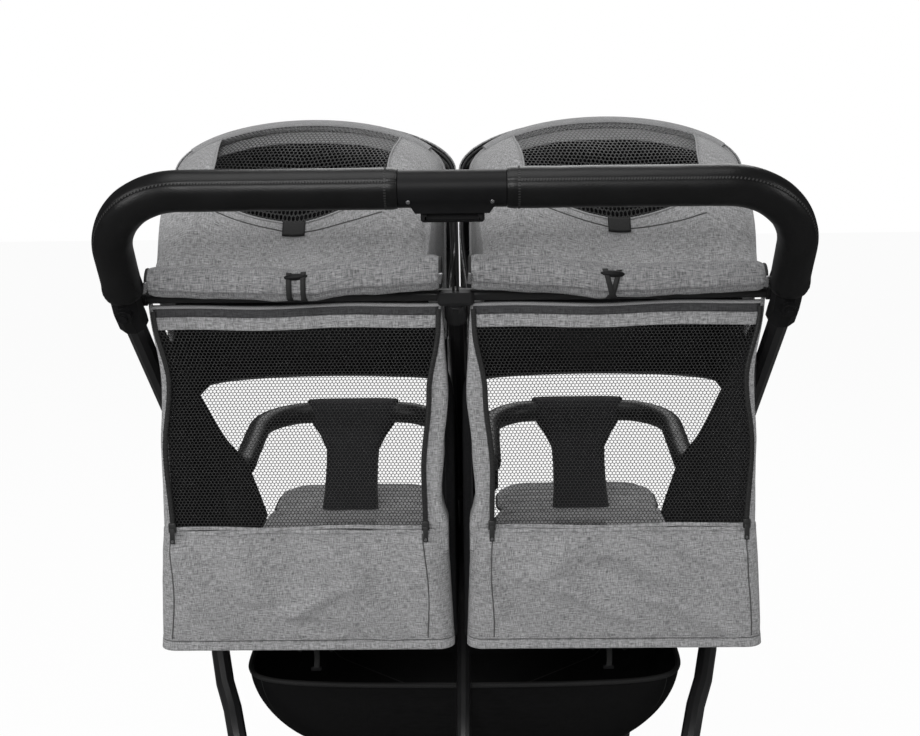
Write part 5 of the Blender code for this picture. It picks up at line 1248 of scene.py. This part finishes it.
# Crotch covers: a padded cloth that wraps the bar and tapers to a waist, then runs
# down to the seat as a flared strap. Its edges are piped.
COVER_PLACES = (0.0, 0.12, 0.30, 0.42, 0.55, 0.66, 0.76, 0.86, 0.95, 1.0)
COVER_HEIGHTS = (-0.128, -0.105, -0.072, -0.052, -0.032, -0.018, -0.006, 0.010, 0.0185, 0.0205)
COVER_HALVES = (0.0400, 0.0378, 0.0372, 0.0384, 0.0500, 0.0610, 0.0668, 0.0685, 0.0680, 0.0640)
COVER_DEPTHS = (0.0060, 0.0066, 0.0072, 0.0080, 0.0128, 0.0186, 0.0202, 0.0203, 0.0130, 0.0030)
COVER_LEANS = ((0.0, -0.095), (0.12, -0.075), (0.30, -0.045), (0.42, -0.026), (0.55, -0.010),
               (0.66, -0.002), (1.0, 0.0))


def cover_point(side, u, v):
    """Around the cover at height v: 0 at the seat, 1 over the bar; u goes right round."""
    height, half, depth = [through(v, tuple(zip(COVER_PLACES, values)))
                           for values in (COVER_HEIGHTS, COVER_HALVES, COVER_DEPTHS)]
    reach = through(v, COVER_LEANS)
    angle = 2 * math.pi * u
    flat, round_ = math.cos(angle), math.sin(angle)
    across = math.copysign(abs(flat) ** 0.45, flat) * half
    deep = math.copysign(abs(round_) ** 0.80, round_) * depth
    puff = ripple((across * 30, v * 4, round_ + side), 1.0, 0.0008)
    return Vector((side * SEAT_X + across, BAR.y + reach + deep * (1 + puff * 30),
                   BAR.z + height))


for word, side in SIDES:
    body = "bumper_" + word
    work = bmesh.new()
    rings = [[work.verts.new(cover_point(side, step / 72, row / 48)) for step in range(72)]
             for row in range(49)]
    tubed(work, rings)
    work.faces.new(rings[0])
    work.faces.new(rings[-1])
    cover = built("crotch_cloth_" + word, work, 60)
    give(cover, black_cloth, body, "crotch_cover_" + word)
    for label, hand, u in (("left", -1, 0.5), ("right", 1, 0.0)):
        line = [cover_point(side, u, row / 40) + Vector((0.0006 * hand, 0, 0))
                for row in range(41)]
        strand("crotch_piping_%s_%s" % (label, word), line, 0.0019, binding, body)
    line = [cover_point(side, 0.5 - 0.5 * step / 30, 0.97) + Vector((0, 0, 0.0004))
            for step in range(31)]
    strand("crotch_top_seam_" + word, line, 0.0008, binding, body)


# Seat pads: crowned cushions on stiff bases, quilted across in three or four channels.
# The seats and the leg rests are grey with a piped edge, and the backrests black.
def cushion(name, cells, centre, half, thick, crown, channels, corner, turn=0.0, about=None):
    """A pad over a rectangle, its face crowned and its channels pressed in."""
    work = bmesh.new()
    weave = work.loops.layers.uv.new("weave")
    across, along = cells
    sheets = []
    for face in (1, -1):
        grid = []
        for row in range(along + 1):
            line = []
            for column in range(across + 1):
                u, v = column / across * 2 - 1, row / along * 2 - 1
                x, y = u * half[0], v * half[1]
                over = max(0.0, abs(x) - half[0] + corner), max(0.0, abs(y) - half[1] + corner)
                reach = math.hypot(*over)
                if reach > 0 and over[0] > 0 and over[1] > 0:
                    most = max(over)
                    x -= math.copysign(over[0] * (1 - most / reach), x)
                    y -= math.copysign(over[1] * (1 - most / reach), y)
                rim = min(half[0] * (1 - abs(u)), half[1] * (1 - abs(v)))
                edge = math.sqrt(max(0.0, 1 - (1 - min(1.0, rim / (thick * 0.8))) ** 2))
                swell = crown * math.cos(u * math.pi / 2) ** 0.5 * math.cos(v * math.pi / 2) ** 0.5
                for spot in channels:
                    swell -= 0.0052 * math.exp(-((y - spot) / 0.0055) ** 2) * edge
                swell += ripple((x * 26 + centre[0] * 9, y * 26, face), 1.0, 0.0011) * edge
                height = (thick / 2) * edge + max(-thick * 0.2, swell) * (face == 1) * edge
                line.append(work.verts.new((x, y, face * height)))
            grid.append(line)
        sheets.append(grid)
    for grid, flip in zip(sheets, (False, True)):
        for row in range(along):
            for column in range(across):
                ring = [grid[row][column], grid[row][column + 1],
                        grid[row + 1][column + 1], grid[row + 1][column]]
                face = work.faces.new(reversed(ring) if flip else ring)
                for loop in face.loops:
                    loop[weave].uv = (loop.vert.co.x, loop.vert.co.y)
    bmesh.ops.remove_doubles(work, verts=work.verts, dist=1e-6)
    bmesh.ops.recalc_face_normals(work, faces=work.faces)
    pad = built(name, work, 70)
    place = Matrix.Translation(centre)
    if turn:
        place = (Matrix.Translation(about) @ Matrix.Rotation(turn, 4, "X")
                 @ Matrix.Translation(-Vector(about)) @ place)
    pad.data.transform(place)
    return pad


def piping(name, pad_half, corner, centre, radius, body):
    """A piped edge all round a pad."""
    line = []
    for quarter, (hand_x, hand_y) in enumerate(((1, 1), (-1, 1), (-1, -1), (1, -1))):
        middle = Vector((hand_x * (pad_half[0] - corner), hand_y * (pad_half[1] - corner), 0))
        for step in range(9):
            angle = math.pi / 2 * (quarter + step / 8)
            line.append(middle + Vector((math.cos(angle), math.sin(angle), 0)) * corner)
    rim = strand(name, line, radius, binding, body, closed=True)
    rim.data.transform(Matrix.Translation(centre))


PAD_SLOPE = -math.radians(6.0)
for word, side in SIDES:
    centre = (side * SEAT_X, 0.2003, 0.4775)
    pad = cushion("seat_pad_" + word, (84, 76), centre, (0.1285, 0.1000), 0.031, 0.0060,
                  (-0.048, 0.002, 0.052), 0.026)
    give(pad, marl_cloth, "chassis", "seat_" + word)
    piping("seat_piping_" + word, (0.1288, 0.1003), 0.026, centre, 0.0021, "chassis")

    hip = (side * SEAT_X, 0.075, 0.478)
    centre = (side * SEAT_X, -0.0950, 0.4780)
    pad = cushion("backrest_pad_" + word, (76, 104), centre, (0.1300, 0.1870), 0.033, 0.0050,
                  (-0.125, -0.050, 0.025, 0.100), 0.034, PAD_SLOPE, hip)
    for vert in pad.data.vertices:
        narrow = 0.115 + 0.021 * ease(-vert.co.y, 0.06, 0.28)
        vert.co.x = side * SEAT_X + (vert.co.x - side * SEAT_X) * narrow / 0.1300
    give(pad, black_cloth, "seatback_" + word, "backrest_" + word)

    body = "leg_rest_" + word
    centre = (side * SEAT_X, 0.3830, 0.4740)
    pad = cushion("legrest_pad_" + word, (72, 56), centre, (0.1255, 0.0765), 0.0235, 0.0045,
                  (-0.046, -0.015, 0.016, 0.047), 0.052)
    give(pad, marl_cloth, body, "legrest_" + word)
    piping("legrest_piping_" + word, (0.1257, 0.0767), 0.052, centre, 0.0019, body)


# Basket: one black cloth hammock under the seats, sagging in the middle. Its rim is a
# bound edge, and a seam runs down each of its four corners.
def basket_point(u, v):
    """u runs round the basket; v from the rim, 0, down the wall and in to the middle."""
    wall = min(1.0, v / 0.62)
    floor = max(0.0, (v - 0.62) / 0.38)
    half = 0.2795 * math.sqrt(1 - (0.90 * wall) ** 2 * 0.55) * (1 - floor)
    inset = 0.060 * (1 - math.sqrt(1 - (0.95 * wall) ** 2))
    rear, front = -0.1290 + inset, 0.2640 - inset
    middle, reach = (rear + front) / 2, (front - rear) / 2 * (1 - floor)
    angle = 2 * math.pi * u
    across = math.copysign(abs(math.cos(angle)) ** 0.24, math.cos(angle)) * half
    along = math.copysign(abs(math.sin(angle)) ** 0.24, math.sin(angle)) * reach
    sag = 0.0065 * math.cos(across / 0.28 * math.pi / 2) * (1 - wall)
    z = 0.3875 - 0.1050 * wall ** 1.15 - 0.0135 * math.sin(floor * math.pi / 2) - sag
    held = math.sin(math.pi * min(1.0, v * 1.3)) if v < 0.77 else 0.4
    drift = ripple((across * 9, along * 9, z * 9), 1.0, 0.0030) * held
    return Vector((across * (1 + drift), middle + along, z + drift * 0.6 * floor))


basket_canvas = woven("basket_canvas", "black_cloth", (0.0022, 0.0022, 0.0023),
                      (0.0085, 0.0085, 0.0088), 1.0, specular_ior_level=0.10)
basket = cut_cloth("basket_cloth", (240, 66), (1.28, 0.30), basket_point, 0.0022)
give(basket, basket_canvas, "chassis", "basket")
line = [basket_point(step / 200, 0.0) + Vector((0, 0, 0.0006)) for step in range(200)]
strand("basket_rim", line, 0.0034, binding, "chassis", 10, closed=True)
for number, u in enumerate((0.125, 0.375, 0.625, 0.875)):
    line = [basket_point(u, 0.02 + 0.95 * step / 40) + Vector((0, 0, 0.0004))
            for step in range(41)]
    strand("basket_seam_%d" % number, line, 0.0014, binding, "chassis")


# Tyres: a rounded tread with two grooves and a ring of shallow blocks, on the CAD rims.
def tyre(name, bead, tread, width, blocks, centre):
    """A turned tyre around the x axis, its blocks cut into the tread as shallow steps."""
    half = width / 2
    section = []
    for step in range(41):
        angle = math.pi * (step / 40 - 0.5)
        rise = max(0.0, math.cos(angle)) ** 0.62
        section.append([half * math.sin(angle) * (1.0 if rise > 0.3 else 0.96),
                        bead + (tread - bead) * rise])
    section = ([[-half * 0.72, bead - 0.0004]] + section[2:-2] + [[half * 0.72, bead - 0.0004]])
    work = bmesh.new()
    count = blocks * 4
    rings = []
    for step in range(count):
        angle = 2 * math.pi * step / count
        ring = []
        for x, radius in section:
            top = max(0.0, 1 - (abs(x) / (half * 0.82)) ** 6)
            groove = 0.0009 * math.exp(-((abs(x) - half * 0.30) / 0.0009) ** 2)
            gap = 0.0008 if (step + (2 if x > 0 else 0)) % 4 == 0 and abs(x) > half * 0.36 else 0
            reach = radius - (groove + gap) * top
            ring.append(work.verts.new((x, reach * math.cos(angle), reach * math.sin(angle))))
        rings.append(ring)
    tubed(work, rings + rings[:1])
    piece = built(name, work, 35)
    piece.data.transform(Matrix.Translation(centre))
    return piece


rubber, wires, shader = finish("rubber", "tyre_rubber", roughness=0.72, specular_ior_level=0.25)
place = wires.node("TexCoord", out="Object")
dust = noised(wires, place, 60.0, 6.0)
grain = noised(wires, place, 900.0, 3.0)
plug(wires, shader, base_color=dust.mix(rgb(0.013), rgb(0.030, 0.029, 0.028)),
     roughness=dust * 0.2 + 0.62, normal=relief(wires, grain, 0.2, 0.0004))
for word, side in SIDES:
    for kind, bead, tread, width, blocks, x, y in (
            ("front", 0.0780, 0.0920, 0.0270, 34, 0.240, 0.3776),
            ("rear", 0.1070, 0.1250, 0.0320, 44, 0.313, -0.2700)):
        give(tyre("tyre_%s_%s" % (kind, word), bead, tread, width, blocks,
                  (side * x, y, tread)), rubber, "%s_wheel_%s" % (kind, word),
             "%s_tyre_%s" % (kind, word))


# Recline locks: a pinch buckle under each backrest, on a short strap with a moulded end.
# On the real one, pressing the two wings lets the strap run and the seat lie flatter.
def lock_strap_point(x, y, top, u, v):
    return Vector((x + (u - 0.5) * 0.0066 + 0.0012 * math.sin(v * 3),
                   y + 0.0010 * math.sin(v * 5.0), top - 0.0150 - 0.0310 * v))


for word, side in SIDES:
    body = "seatback_" + word
    x, y, top = side * SEAT_X, -0.2250, 0.4905
    work = bmesh.new()
    block(work, (x - 0.0120, y - 0.0042, top - 0.0130), (x + 0.0120, y + 0.0042, top),
          edge=0.0014)
    block(work, (x - 0.0060, y - 0.0052, top - 0.0190), (x + 0.0060, y + 0.0052, top - 0.0100),
          edge=0.0012)
    for hand in (-1, 1):
        block(work, (x + hand * 0.0150 - 0.0030, y - 0.0040, top - 0.0240),
              (x + hand * 0.0150 + 0.0030, y + 0.0040, top - 0.0010),
              turn=(0.0, math.radians(hand * -28), 0.0), edge=0.0012)
    give(built("recline_buckle_" + word, work), moulded_nylon, body, "recline_lock_" + word)
    strap = cut_cloth("recline_strap_" + word, (4, 30), (0.011, 0.032),
                      partial(lock_strap_point, x, y, top), 0.0014)
    give(strap, binding, body)
    work = bmesh.new()
    block(work, (x - 0.0062, y - 0.0020, top - 0.0474), (x + 0.0062, y + 0.0020, top - 0.0430),
          edge=0.0008)
    give(built("recline_strap_end_" + word, work), moulded_nylon, body)
    shank = [Vector((x - 0.0015, y + reach, top - 0.0060)) for reach in (-0.0064, -0.0036)]
    strand("recline_rivet_" + word, shank, 0.0023, bright_metal, body, 16)


# Buckle pads: a small grey pad on each seat, where the crotch strap comes up.
for word, side in SIDES:
    pad = cushion("buckle_pad_" + word, (30, 24), (side * 0.1640, 0.1400, 0.5120),
                  (0.0365, 0.0240), 0.0170, 0.0035, (), 0.018)
    give(pad, marl_cloth, "chassis")
